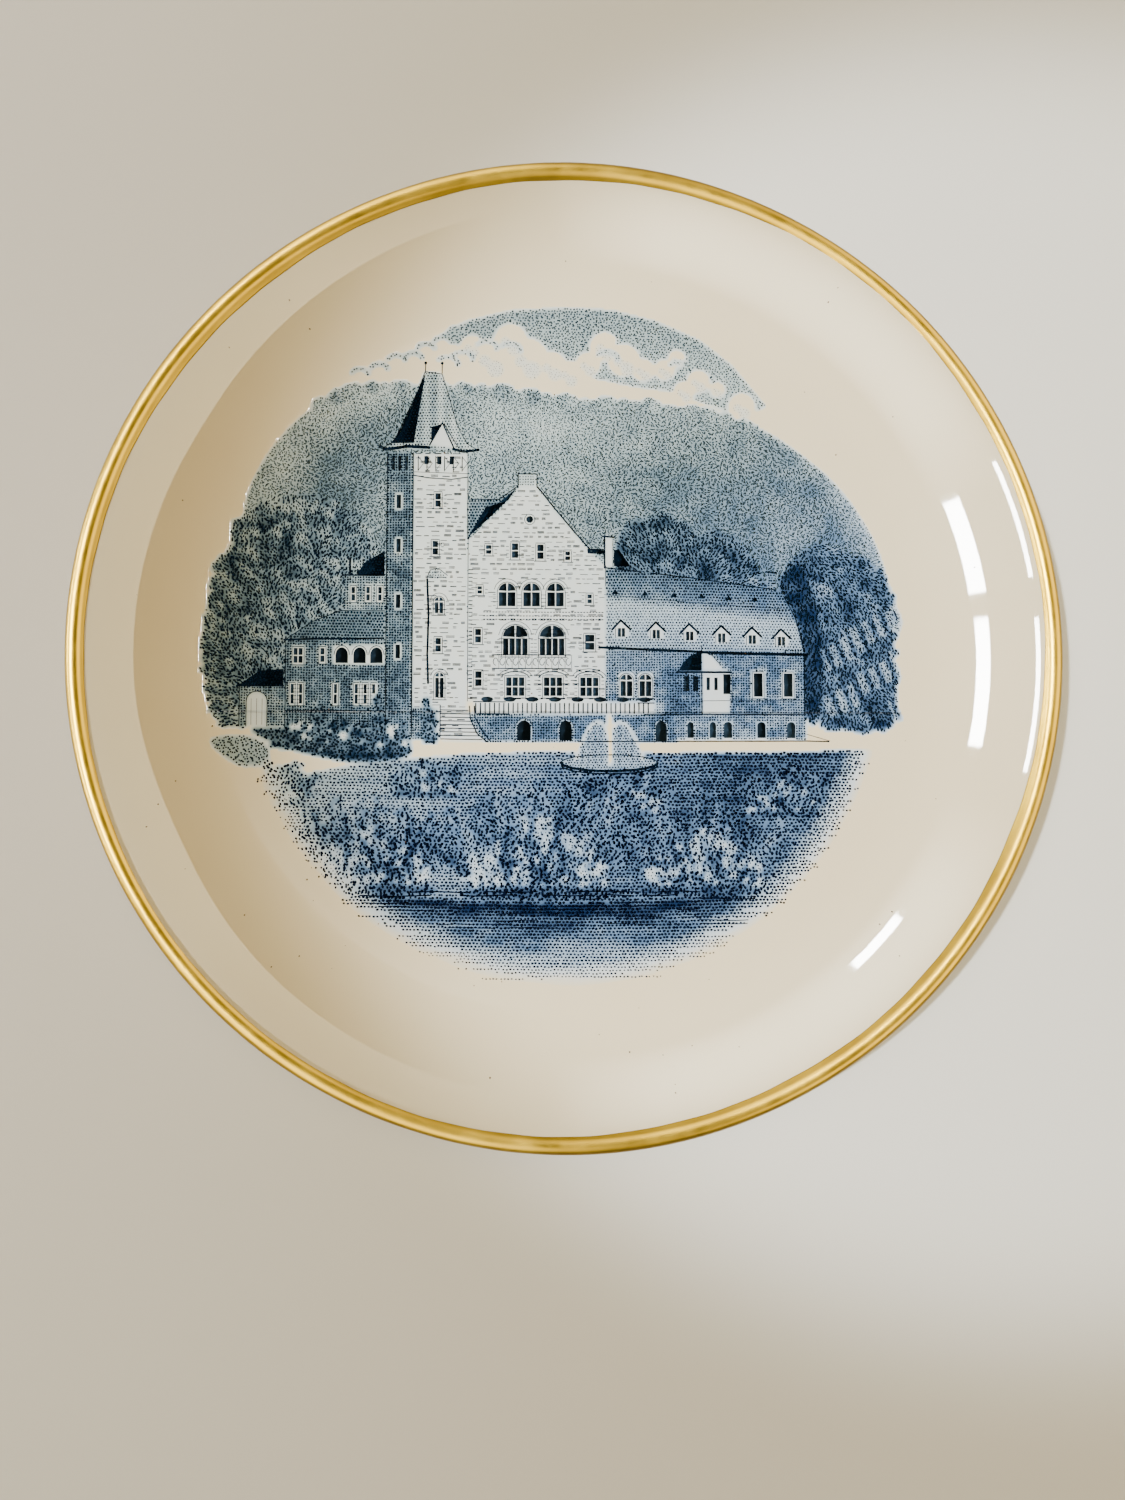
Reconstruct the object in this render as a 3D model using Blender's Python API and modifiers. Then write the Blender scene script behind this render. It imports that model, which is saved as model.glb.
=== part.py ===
"""Souvenir plate: a shallow coupe plate of glazed porcelain with a gilded lip and a printed picture.

The body is turned around the Z axis. Every fired-on layer is a skin that follows the same centre
line through the thickness of the plate, so one set of sizes drives them all. Metres, +Z up, origin
on the surface that the foot ring stands on, +Y towards the top of the picture.
"""

import math

import bpy

NAME = "souvenir_plate"

# Whole plate
DIAMETER = 0.195
HEIGHT = 0.0196
TURN_STEPS = 60

# Layers, from the body outwards. GAP is the clearance that every touching pair keeps.
GAP = 0.0003
GLAZE = 0.0003
GOLD = 0.0002
PRINT = 0.0002

# Porcelain under the glaze
WELL_THICKNESS = 0.0032
LIP_THICKNESS = 0.0014
WELL_RADIUS = 0.0715
WALL_STEPS = 7
LIP_STEPS = 4

# Foot ring
FOOT_RADIUS = 0.0560
FOOT_WIDTH = 0.0032
FOOT_BEVEL = 0.0006
RECESS_HEIGHT = 0.0036
FOOT_FILLET = 0.0018
FILLET_STEPS = 2
BARE_FOOT = 0.0011

# Gold band: it starts on the inside of the wall and ends at the widest line of the lip
BAND_START = 0.0935
BAND_LAP_STEPS = 4

# Printed picture: a vignette with a softly scalloped edge
PICTURE_WIDTH = 0.1405
PICTURE_HEIGHT = 0.1390
PICTURE_CENTRE = (-0.0030, 0.0020)
SCALLOPS = 17
SCALLOP_DEPTH = 0.0005
PICTURE_POINTS = 136

# Plain ring printed under the foot
STAMP_RADIUS = 0.0070
STAMP_LINE = 0.0010
STAMP_POINTS = 48

# Derived
LIP_HALF = LIP_THICKNESS / 2
WELL_HALF = WELL_THICKNESS / 2
LAYERS_AT_LIP = GAP + GLAZE + GAP + GOLD
LIP_REACH = LIP_HALF + LAYERS_AT_LIP
WELL_CENTRE_HEIGHT = RECESS_HEIGHT + WELL_HALF
ARC_WIDTH = DIAMETER / 2 - LIP_REACH - WELL_RADIUS
ARC_RISE = HEIGHT - LIP_REACH - WELL_CENTRE_HEIGHT
ARC_RADIUS = (ARC_WIDTH**2 + ARC_RISE**2) / (2 * ARC_RISE)
ARC_ANGLE = 2 * math.atan2(ARC_RISE, ARC_WIDTH)
ON_GLAZE = GAP + GLAZE + GAP


def clear_scene():
    for obj in list(bpy.data.objects):
        bpy.data.objects.remove(obj, do_unlink=True)


def material(name, colour, roughness, metallic=0.0, coat=0.0):
    made = bpy.data.materials.new(name)
    made.use_nodes = True
    shader = made.node_tree.nodes["Principled BSDF"]
    shader.inputs["Base Color"].default_value = (*colour, 1.0)
    shader.inputs["Roughness"].default_value = roughness
    shader.inputs["Metallic"].default_value = metallic
    shader.inputs["Coat Weight"].default_value = coat
    return made


def add_object(name, data, finish):
    obj = bpy.data.objects.new(name, data)
    data.materials.append(finish)
    bpy.data.collections[NAME].objects.link(obj)
    return obj


# ---------------------------------------------------------------- the centre line of the plate


def wall_angles():
    """Slopes of the wall's arc, from the edge of the flat well to the lip."""
    return [ARC_ANGLE * step / WALL_STEPS for step in range(WALL_STEPS + 1)]


def centre_point(angle):
    """The middle of the plate's thickness where the wall slopes by this angle."""
    radius = WELL_RADIUS + ARC_RADIUS * math.sin(angle)
    height = WELL_CENTRE_HEIGHT + ARC_RADIUS * (1 - math.cos(angle))
    return radius, height


def half_thickness(angle):
    """Half the thickness of the porcelain, which thins evenly towards the lip."""
    share = angle / ARC_ANGLE
    return WELL_HALF + (LIP_HALF - WELL_HALF) * share


def face_point(angle, side, distance):
    """A point this far off the porcelain: side is 1 for the top face and -1 for the underside."""
    radius, height = centre_point(angle)
    offset = side * (half_thickness(angle) + distance)
    return radius - offset * math.sin(angle), height + offset * math.cos(angle)


def lip_point(direction, distance):
    """A point on the round lip; a direction of 0 is its widest line and 90 degrees is its crest."""
    radius, height = centre_point(ARC_ANGLE)
    reach = LIP_HALF + distance
    return radius + reach * math.cos(direction), height + reach * math.sin(direction)


def lip_line(distance):
    """The round lip between the top face and the underside."""
    first = ARC_ANGLE + math.pi / 2
    return [lip_point(first - math.pi * step / LIP_STEPS, distance) for step in range(1, LIP_STEPS)]


def gilded_lip_line(distance):
    """The part of the lip that carries gold, down to its widest line."""
    first = ARC_ANGLE + math.pi / 2
    shares = [step / BAND_LAP_STEPS for step in range(1, BAND_LAP_STEPS + 1)]
    return [lip_point(first * (1 - share), distance) for share in shares]


def fillet(start, corner, end):
    """A soft inside corner, as the points of a quadratic curve."""
    points = []
    for step in range(FILLET_STEPS + 1):
        t = step / FILLET_STEPS
        points.append(
            tuple(
                (1 - t) ** 2 * a + 2 * t * (1 - t) * b + t**2 * c
                for a, b, c in zip(start, corner, end)
            )
        )
    return points


# ------------------------------------------------------------------------ lines that make a skin


def top_line(distance):
    """Top face, from the axis outwards."""
    face = [face_point(angle, 1, distance) for angle in wall_angles()]
    return [(0.0, face[0][1])] + face


def outer_line(distance):
    """Underside of the wall, from the lip inwards, ending in the corner against the foot ring."""
    face = [face_point(angle, -1, distance) for angle in reversed(wall_angles())]
    side = FOOT_RADIUS + distance
    ceiling = face[-1][1]
    corner = fillet((side + FOOT_FILLET, ceiling), (side, ceiling), (side, ceiling - FOOT_FILLET))
    return face + corner


def recess_line(distance):
    """Ceiling of the hollow inside the foot ring, from the foot's inner side to the axis."""
    side = FOOT_RADIUS - FOOT_WIDTH - distance
    ceiling = RECESS_HEIGHT - distance
    corner = fillet((side, ceiling - FOOT_FILLET), (side, ceiling), (side - FOOT_FILLET, ceiling))
    return corner + [(0.0, ceiling)]


def foot_line():
    """The bare standing face of the foot ring, from its outer side to its inner side."""
    outer = FOOT_RADIUS
    inner = FOOT_RADIUS - FOOT_WIDTH
    return [
        (outer, FOOT_BEVEL),
        (outer - FOOT_BEVEL, 0.0),
        (inner + FOOT_BEVEL, 0.0),
        (inner, FOOT_BEVEL),
    ]


# ------------------------------------------------------------------------------------- the parts


def turned(name, outline, finish, closed=False):
    """A solid of revolution: a profile in the XZ plane with a Screw modifier around Z."""
    mesh = bpy.data.meshes.new(name)
    count = len(outline)
    edges = [(index, index + 1) for index in range(count - 1)]
    if closed:
        edges.append((count - 1, 0))
    mesh.from_pydata([(radius, 0.0, height) for radius, height in outline], edges, [])
    obj = add_object(name, mesh, finish)
    screw = obj.modifiers.new("Turn", "SCREW")
    screw.axis = "Z"
    screw.angle = math.tau
    screw.steps = TURN_STEPS
    screw.render_steps = TURN_STEPS
    screw.use_merge_vertices = True
    screw.merge_threshold = 0.000001
    screw.use_smooth_shade = True
    return obj


def porcelain_body(finish):
    """The biscuit: well, coupe wall, lip and foot ring in one fired piece."""
    outline = top_line(0.0) + lip_line(0.0) + outer_line(0.0) + foot_line() + recess_line(0.0)
    return turned("porcelain_body", outline, finish)


def glaze_coat(finish):
    """Clear glaze over the top face, the lip and the outside, down to the bare foot."""
    bare_end = (FOOT_RADIUS + GAP + GLAZE, BARE_FOOT)
    outside = top_line(GAP + GLAZE) + lip_line(GAP + GLAZE) + outer_line(GAP + GLAZE) + [bare_end]
    inside = top_line(GAP) + lip_line(GAP) + outer_line(GAP) + [(FOOT_RADIUS + GAP, BARE_FOOT)]
    return turned("glaze_coat", outside + inside[::-1], finish)


def glaze_base(finish):
    """Glaze inside the foot ring, cut off from the rest by the bare standing face."""
    side = FOOT_RADIUS - FOOT_WIDTH
    against_body = recess_line(GAP)[::-1] + [(side - GAP, BARE_FOOT)]
    open_face = [(side - GAP - GLAZE, BARE_FOOT)] + recess_line(GAP + GLAZE)
    return turned("glaze_base", against_body + open_face, finish)


def gold_rim_band(finish):
    """The gilded band, from the inside of the wall over the crest of the lip."""
    first = math.asin((BAND_START - WELL_RADIUS) / ARC_RADIUS)
    angles = [first] + [angle for angle in wall_angles() if angle > first]
    faces = []
    for distance in (ON_GLAZE + GOLD, ON_GLAZE):
        wall = [face_point(angle, 1, distance) for angle in angles]
        faces.append(wall + gilded_lip_line(distance))
    shown, hidden = faces
    return turned("gold_rim_band", shown + hidden[::-1], finish, closed=True)


def picture_outline():
    """The vignette's edge: an ellipse with shallow scallops, like foliage at the border."""
    points = []
    for index in range(PICTURE_POINTS):
        angle = math.tau * index / PICTURE_POINTS
        scallop = SCALLOP_DEPTH * abs(math.sin(angle * SCALLOPS / 2))
        x = PICTURE_CENTRE[0] + (PICTURE_WIDTH / 2 + scallop) * math.cos(angle)
        y = PICTURE_CENTRE[1] + (PICTURE_HEIGHT / 2 + scallop) * math.sin(angle)
        points.append((x, y))
    return points


def flat_layer(name, outlines, middle_height, finish):
    """A flat printed layer, bounded by closed outlines."""
    curve = bpy.data.curves.new(name, "CURVE")
    curve.dimensions = "2D"
    curve.fill_mode = "BOTH"
    curve.extrude = PRINT / 2
    for outline in outlines:
        spline = curve.splines.new("POLY")
        spline.points.add(len(outline) - 1)
        for point, (x, y) in zip(spline.points, outline):
            point.co = (x, y, 0.0, 1.0)
        spline.use_cyclic_u = True
    obj = add_object(name, curve, finish)
    obj.location.z = middle_height
    return obj


def transfer_picture(finish):
    """The printed picture, one transfer fired on the flat of the well."""
    well_top = WELL_CENTRE_HEIGHT + WELL_HALF + ON_GLAZE
    return flat_layer("transfer_picture", [picture_outline()], well_top + PRINT / 2, finish)


def circle_outline(radius, count):
    turns = [math.tau * step / count for step in range(count)]
    return [(radius * math.cos(turn), radius * math.sin(turn)) for turn in turns]


def back_stamp(finish):
    """A plain ring printed under the foot, with no lettering."""
    radii = (STAMP_RADIUS, STAMP_RADIUS - STAMP_LINE)
    outlines = [circle_outline(radius, STAMP_POINTS) for radius in radii]
    underside = RECESS_HEIGHT - ON_GLAZE
    return flat_layer("back_stamp", outlines, underside - PRINT / 2, finish)


def build():
    clear_scene()
    collection = bpy.data.collections.new(NAME)
    bpy.context.scene.collection.children.link(collection)
    biscuit = material("biscuit_porcelain", (0.80, 0.77, 0.70), 0.75)
    glaze = material("porcelain_glaze", (0.82, 0.78, 0.70), 0.08, coat=1.0)
    gold = material("bright_gold", (0.83, 0.58, 0.20), 0.22, metallic=1.0)
    ink = material("cobalt_ink", (0.03, 0.06, 0.16), 0.35, coat=0.5)
    porcelain_body(biscuit)
    glaze_coat(glaze)
    glaze_base(glaze)
    gold_rim_band(gold)
    transfer_picture(ink)
    back_stamp(ink)


build()
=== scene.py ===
"""Looks of the souvenir plate: glazed porcelain, a gilded lip and an engraved print made of ink marks.

Sizes are millimetres until a mesh is made. The plate is turned around Z, +Y is the top of the print,
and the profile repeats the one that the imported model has.
"""

import math

import bpy
import numpy as np
from mathutils import Matrix, Vector


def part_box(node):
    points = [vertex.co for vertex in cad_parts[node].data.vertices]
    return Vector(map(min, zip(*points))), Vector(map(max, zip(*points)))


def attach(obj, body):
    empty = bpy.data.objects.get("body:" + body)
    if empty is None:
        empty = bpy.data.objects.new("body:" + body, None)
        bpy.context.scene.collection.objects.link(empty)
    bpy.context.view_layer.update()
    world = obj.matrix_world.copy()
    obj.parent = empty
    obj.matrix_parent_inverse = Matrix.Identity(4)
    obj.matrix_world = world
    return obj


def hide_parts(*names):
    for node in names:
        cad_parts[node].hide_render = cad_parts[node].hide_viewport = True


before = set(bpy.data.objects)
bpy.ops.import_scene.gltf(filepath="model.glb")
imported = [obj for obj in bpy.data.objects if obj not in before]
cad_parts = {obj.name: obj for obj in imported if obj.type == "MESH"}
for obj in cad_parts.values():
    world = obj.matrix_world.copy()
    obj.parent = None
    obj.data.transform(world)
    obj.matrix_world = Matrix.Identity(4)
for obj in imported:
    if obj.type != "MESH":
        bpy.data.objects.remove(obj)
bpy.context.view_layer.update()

MM = 0.001
BODY = "root"

# ------------------------------------------------------------------------------ sizes of the plate

GOLD_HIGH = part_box("gold_rim_band")[1]
PLATE_RADIUS = GOLD_HIGH[0] / MM
PLATE_HEIGHT = GOLD_HIGH[2] / MM

WELL_RADIUS = 71.5
WELL_HALF = 1.6
LIP_HALF = 0.7
GOLD_REACH = 1.1
GOLD_RISE = 0.05
# How far the hidden side of a glaze stays off the clay.
SKIN = 0.03
SURFACE = GOLD_REACH - GOLD_RISE
RECESS_HEIGHT = 3.6
FOOT_RADIUS = 56.0
FOOT_WIDTH = 3.2
FOOT_BEVEL = 0.6
FOOT_FILLET = 1.8
BARE_FOOT = 1.1
BAND_START = 93.85

CENTRE_HEIGHT = RECESS_HEIGHT + WELL_HALF
ARC_WIDTH = PLATE_RADIUS - LIP_HALF - GOLD_REACH - WELL_RADIUS
ARC_RISE = PLATE_HEIGHT - LIP_HALF - GOLD_REACH - CENTRE_HEIGHT
ARC_RADIUS = (ARC_WIDTH**2 + ARC_RISE**2) / (2 * ARC_RISE)
ARC_ANGLE = 2 * math.atan2(ARC_RISE, ARC_WIDTH)

TURNS = 360
WALL_STEPS = 36
LIP_STEPS = 18
CORNER_STEPS = 8
WELL_RINGS = 24


def warp(x, y, z):
    """The faint unevenness that firing leaves in the wall and the well, a few hundredths of a mm."""
    swell = np.sin(x / 12.0 + 0.7) * np.cos(y / 15.0 - 0.4) + 0.7 * np.sin((x - y) / 21.0 + 1.1)
    return 0.04 * swell * np.clip((z - 5.0) / 2.0, 0.0, 1.0)


def face_points(angles, side, distance):
    """Points on the wall, this far off the biscuit; side 1 is the top face, -1 the underside."""
    angles = np.asarray(angles, float)
    half = WELL_HALF + (LIP_HALF - WELL_HALF) * angles / ARC_ANGLE
    offset = side * (half + distance)
    radius = WELL_RADIUS + (ARC_RADIUS - offset) * np.sin(angles)
    height = CENTRE_HEIGHT + ARC_RADIUS - (ARC_RADIUS - offset) * np.cos(angles)
    return np.column_stack([radius, height])


def lip_points(turned, distance):
    """Points round the lip, this far off the biscuit; 90 degrees is its crest and 0 its widest line."""
    centre = face_points([ARC_ANGLE], 1, -LIP_HALF)[0]
    return centre + (LIP_HALF + distance) * np.column_stack([np.cos(turned), np.sin(turned)])


def curved_corner(start, corner, end):
    t = np.linspace(0.0, 1.0, CORNER_STEPS + 1)[:, None]
    start, corner, end = np.array(start), np.array(corner), np.array(end)
    return (1 - t) ** 2 * start + 2 * t * (1 - t) * corner + t**2 * end


def wall_angles():
    return np.linspace(0.0, ARC_ANGLE, WALL_STEPS + 1)


def top_line(distance):
    """Top face from the axis to the lip."""
    face = face_points(wall_angles(), 1, distance)
    rings = np.linspace(0.0, WELL_RADIUS, WELL_RINGS, endpoint=False)
    flat = np.column_stack([rings, np.full(len(rings), face[0][1])])
    return np.vstack([flat, face])


def lip_line(distance):
    half_turn = np.linspace(ARC_ANGLE + math.pi / 2, ARC_ANGLE - math.pi / 2, LIP_STEPS + 1)
    return lip_points(half_turn[1:-1], distance)


def outer_line(distance, foot_distance):
    """Underside of the wall from the lip to the foot, thinning to foot_distance at the bare foot."""
    face = face_points(wall_angles()[::-1], -1, distance)
    side = FOOT_RADIUS + distance
    ceiling = face[-1][1]
    corner = curved_corner(
        (side + FOOT_FILLET, ceiling), (side, ceiling), (FOOT_RADIUS + foot_distance, BARE_FOOT)
    )
    return np.vstack([face, corner])


def recess_line(distance, foot_distance):
    """Ceiling inside the foot ring, from the foot's inner side to the axis."""
    side = FOOT_RADIUS - FOOT_WIDTH
    ceiling = RECESS_HEIGHT - distance
    corner = curved_corner(
        (side - foot_distance, BARE_FOOT),
        (side - distance, ceiling),
        (side - distance - FOOT_FILLET, ceiling),
    )
    return np.vstack([corner, [(0.0, ceiling)]])


# ------------------------------------------------------------------------------------- mesh helpers


def finish_object(name, mesh, materials, node):
    """Links a piece to the scene with its materials, parents it to the body, and hides the imported node that
    it stands for.
    """
    obj = bpy.data.objects.new(name, mesh)
    for material in materials:
        mesh.materials.append(material)
    bpy.context.scene.collection.objects.link(obj)
    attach(obj, BODY)
    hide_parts(node)
    return obj


def ring_mesh(name, rings, closed=False):
    """A smooth closed mesh through rings of points, warped as the firing left it; a ring may be one point."""
    indices, first = [], 0
    for ring in rings:
        indices.append(first + np.arange(TURNS) % len(ring))
        first += len(ring)
    points = np.vstack(rings)
    points[:, 2] += warp(points[:, 0], points[:, 1], points[:, 2])
    pairs = list(zip(indices[:-1], indices[1:]))
    if closed:
        pairs.append((indices[-1], indices[0]))
    faces = []
    for upper, lower in pairs:
        corners = np.column_stack([upper, lower, np.roll(lower, -1), np.roll(upper, -1)])
        if upper[0] == upper[1]:
            corners = corners[:, :3]
        elif lower[0] == lower[1]:
            corners = corners[:, [0, 1, 3]]
        faces += corners.tolist()
    mesh = bpy.data.meshes.new(name)
    mesh.from_pydata((points * MM).tolist(), [], faces)
    mesh.shade_smooth()
    return mesh


def turned_ring(radius, height):
    """A ring about the axis; radius and height are numbers, or one value for each turn."""
    turns = np.arange(TURNS) * math.tau / TURNS
    if np.max(radius) < 1e-6:
        return np.array([[0.0, 0.0, height]])
    heights = np.broadcast_to(height, (TURNS,))
    return np.column_stack([radius * np.cos(turns), radius * np.sin(turns), heights])


def lathe_mesh(name, outline, closed=False):
    """Turns an outline of (radius, height) into a smooth closed mesh."""
    return ring_mesh(name, [turned_ring(radius, height) for radius, height in outline], closed)


def surface_height(x, y):
    """Height of the glazed top face at each point."""
    line = top_line(SURFACE)
    height = np.interp(np.hypot(x, y), line[:, 0], line[:, 1])
    return height + warp(x, y, height)


# ------------------------------------------------------------------------------------- materials


class Nodes:
    """A material's node tree, with short calls to add and link nodes."""

    def __init__(self, name, base, roughness, **settings):
        self.material = bpy.data.materials.new(name)
        self.material.use_nodes = True
        self.tree = self.material.node_tree
        self.shader = self.tree.nodes["Principled BSDF"]
        self.shader.inputs["Base Color"].default_value = (*base, 1.0)
        self.shader.inputs["Roughness"].default_value = roughness
        for socket, value in settings.items():
            self.shader.inputs[socket.replace("_", " ")].default_value = value

    def add(self, kind, **settings):
        node = self.tree.nodes.new(kind)
        for key, value in settings.items():
            setattr(node, key, value)
        return node

    def link(self, source, target):
        self.tree.links.new(source, target)

    def place(self):
        return self.add("ShaderNodeTexCoord").outputs["Object"]

    def noise(self, scale, detail=3.0, roughness=0.5):
        node = self.add("ShaderNodeTexNoise")
        node.inputs["Scale"].default_value = scale
        node.inputs["Detail"].default_value = detail
        node.inputs["Roughness"].default_value = roughness
        self.link(self.place(), node.inputs["Vector"])
        return node.outputs["Fac"]

    def ramp(self, source, stops):
        node = self.add("ShaderNodeValToRGB")
        elements = node.color_ramp.elements
        while len(elements) < len(stops):
            elements.new(0.5)
        for element, (position, colour) in zip(elements, stops):
            element.position = position
            element.color = (*colour, 1.0)
        self.link(source, node.inputs["Fac"])
        return node.outputs["Color"]

    def mix(self, factor, first, second):
        node = self.add("ShaderNodeMix", data_type="RGBA")
        self.link(factor, node.inputs[0])
        for source, socket in ((first, node.inputs[6]), (second, node.inputs[7])):
            if isinstance(source, tuple):
                socket.default_value = (*source, 1.0)
            else:
                self.link(source, socket)
        return node.outputs[2]

    def map_range(self, source, low, high, to_low, to_high):
        node = self.add("ShaderNodeMapRange")
        self.link(source, node.inputs["Value"])
        for socket, value in zip(("From Min", "From Max", "To Min", "To Max"), (low, high, to_low, to_high)):
            node.inputs[socket].default_value = value
        return node.outputs["Result"]

    def bump(self, source, distance):
        node = self.add("ShaderNodeBump")
        node.inputs["Distance"].default_value = distance
        self.link(source, node.inputs["Height"])
        self.link(node.outputs["Normal"], self.shader.inputs["Normal"])


CREAM = (0.80, 0.715, 0.53)
WARM_CREAM = (0.765, 0.665, 0.475)
SLATE_GROUND = [
    (0.15, (0.60, 0.67, 0.70)),
    (0.40, (0.36, 0.46, 0.51)),
    (0.70, (0.13, 0.20, 0.27)),
    (1.00, (0.010, 0.028, 0.055)),
]
COBALT_GROUND = [
    (0.15, (0.58, 0.66, 0.76)),
    (0.40, (0.34, 0.46, 0.64)),
    (0.70, (0.10, 0.18, 0.34)),
    (1.00, (0.006, 0.020, 0.065)),
]
RIPPLE_SCALE = 95.0
GLAZE_RIPPLE = 0.00003
GLOSS = {"Specular_IOR_Level": 0.0, "Coat_Weight": 1.0, "Coat_Roughness": 0.03, "Coat_IOR": 1.52}


def glaze_colour(nodes):
    """Cream porcelain seen through clear glaze, a little warmer in slow patches."""
    return nodes.ramp(nodes.noise(14.0, 4.0), [(0.35, CREAM), (0.68, WARM_CREAM)])


def glaze_material():
    """Clear high-gloss glaze over cream porcelain."""
    nodes = Nodes("glaze_clear", CREAM, 0.30, **GLOSS)
    nodes.link(glaze_colour(nodes), nodes.shader.inputs["Base Color"])
    nodes.bump(nodes.noise(RIPPLE_SCALE, 2.0), GLAZE_RIPPLE)
    return nodes.material


def ground_material():
    """Glaze over the print's ground, where the cobalt has bled between the marks."""
    nodes = Nodes("glaze_over_bleed", CREAM, 0.30, **GLOSS)
    bleed = nodes.add("ShaderNodeAttribute", attribute_name="bleed").outputs["Fac"]
    cobalt = nodes.add("ShaderNodeAttribute", attribute_name="cobalt").outputs["Fac"]
    tint = nodes.mix(cobalt, nodes.ramp(bleed, SLATE_GROUND), nodes.ramp(bleed, COBALT_GROUND))
    cover = nodes.map_range(bleed, 0.0, 0.15, 0.0, 1.0)
    nodes.link(nodes.mix(cover, glaze_colour(nodes), tint), nodes.shader.inputs["Base Color"])
    nodes.bump(nodes.noise(RIPPLE_SCALE, 2.0), GLAZE_RIPPLE)
    return nodes.material


def biscuit_material():
    """Bare fired porcelain: matt, a little grey, with kiln grit."""
    nodes = Nodes("biscuit_porcelain", (0.70, 0.64, 0.53), 0.8)
    grit = nodes.noise(900.0, 4.0, 0.7)
    stops = [(0.30, (0.48, 0.42, 0.34)), (0.48, (0.70, 0.64, 0.53)), (0.80, (0.78, 0.72, 0.62))]
    nodes.link(nodes.ramp(grit, stops), nodes.shader.inputs["Base Color"])
    nodes.bump(grit, 0.0001)
    return nodes.material


def gold_material():
    """Burnished gold, with slow patches of colour and of roughness."""
    nodes = Nodes("bright_gold", (0.255, 0.16, 0.012), 0.30, Metallic=1.0)
    patches = nodes.noise(90.0, 3.0, 0.5)
    stops = [(0.30, (0.22, 0.135, 0.009)), (0.50, (0.255, 0.16, 0.012)), (0.75, (0.295, 0.19, 0.016))]
    nodes.link(nodes.ramp(patches, stops), nodes.shader.inputs["Base Color"])
    worn = nodes.map_range(nodes.noise(300.0, 3.0), 0.3, 0.7, 0.28, 0.36)
    nodes.link(worn, nodes.shader.inputs["Roughness"])
    nodes.bump(nodes.noise(700.0, 3.0), 0.00001)
    return nodes.material


def ink_materials(name, colour, spread):
    """Three strengths of one fired-on ink."""
    made = []
    for index, share in enumerate((1.0 - spread, 1.0, 1.0 + spread)):
        shade = tuple(channel * share for channel in colour)
        made.append(Nodes(f"{name}_{index}", shade, 0.35, Specular_IOR_Level=0.0).material)
    return made


DEEP_INK = (0.003, 0.008, 0.030)
BLUE_INK = (0.005, 0.016, 0.036)
SLATE_INK = (0.042, 0.074, 0.098)
GLASS_INK = (0.022, 0.045, 0.075)
STAMP_INK = (0.02, 0.06, 0.16)
SPECK_BROWN = (0.10, 0.05, 0.02)

# ------------------------------------------------------------------------- the engraver's canvas

CELL = 0.15
LEFT, RIGHT, BOTTOM, TOP = -78.0, 72.0, -72.0, 76.0
PAPER, SKY, HILL, TREES, ROOF, WALL, SHADE, BED, LAWN, SHRUBS, WATER, SPRAY, STONE = range(13)
FOREGROUND = (LAWN, SHRUBS, WATER)
# Points that a smooth outline gets for each given point.
PER_SPAN = 6
GROUND_COLUMNS = int((RIGHT - LEFT) / CELL)
GROUND_ROWS = int((TOP - BOTTOM) / CELL)


NOISE_CELLS = 128


def value_noise(x, y, scale, seed):
    """Smooth noise from 0 to 1 with features of this size."""
    table = np.random.default_rng(seed).random((NOISE_CELLS, NOISE_CELLS))
    u, v = np.asarray(x) / scale, np.asarray(y) / scale
    column, row = np.floor(u).astype(int), np.floor(v).astype(int)
    u, v = u - column, v - row
    u, v = u * u * (3 - 2 * u), v * v * (3 - 2 * v)
    column, row, right, above = (cell % NOISE_CELLS for cell in (column, row, column + 1, row + 1))
    near = table[column, row] * (1 - u) + table[right, row] * u
    far = table[column, above] * (1 - u) + table[right, above] * u
    return near * (1 - v) + far * v


def smooth_outline(points):
    """A closed curve through given points."""
    points = np.asarray(points, float)
    before, after, beyond = np.roll(points, 1, 0), np.roll(points, -1, 0), np.roll(points, -2, 0)
    spans = []
    for t in np.arange(PER_SPAN) / PER_SPAN:
        spans.append(
            0.5
            * (
                2 * points
                + (after - before) * t
                + (2 * before - 5 * points + 4 * after - beyond) * t**2
                + (3 * points - before - 3 * after + beyond) * t**3
            )
        )
    return np.stack(spans, 1).reshape(-1, 2)


def cell_centres():
    x, y = np.arange(GROUND_COLUMNS), np.arange(GROUND_ROWS)
    return np.meshgrid(LEFT + (x + 0.5) * CELL, BOTTOM + (y + 0.5) * CELL)


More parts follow.
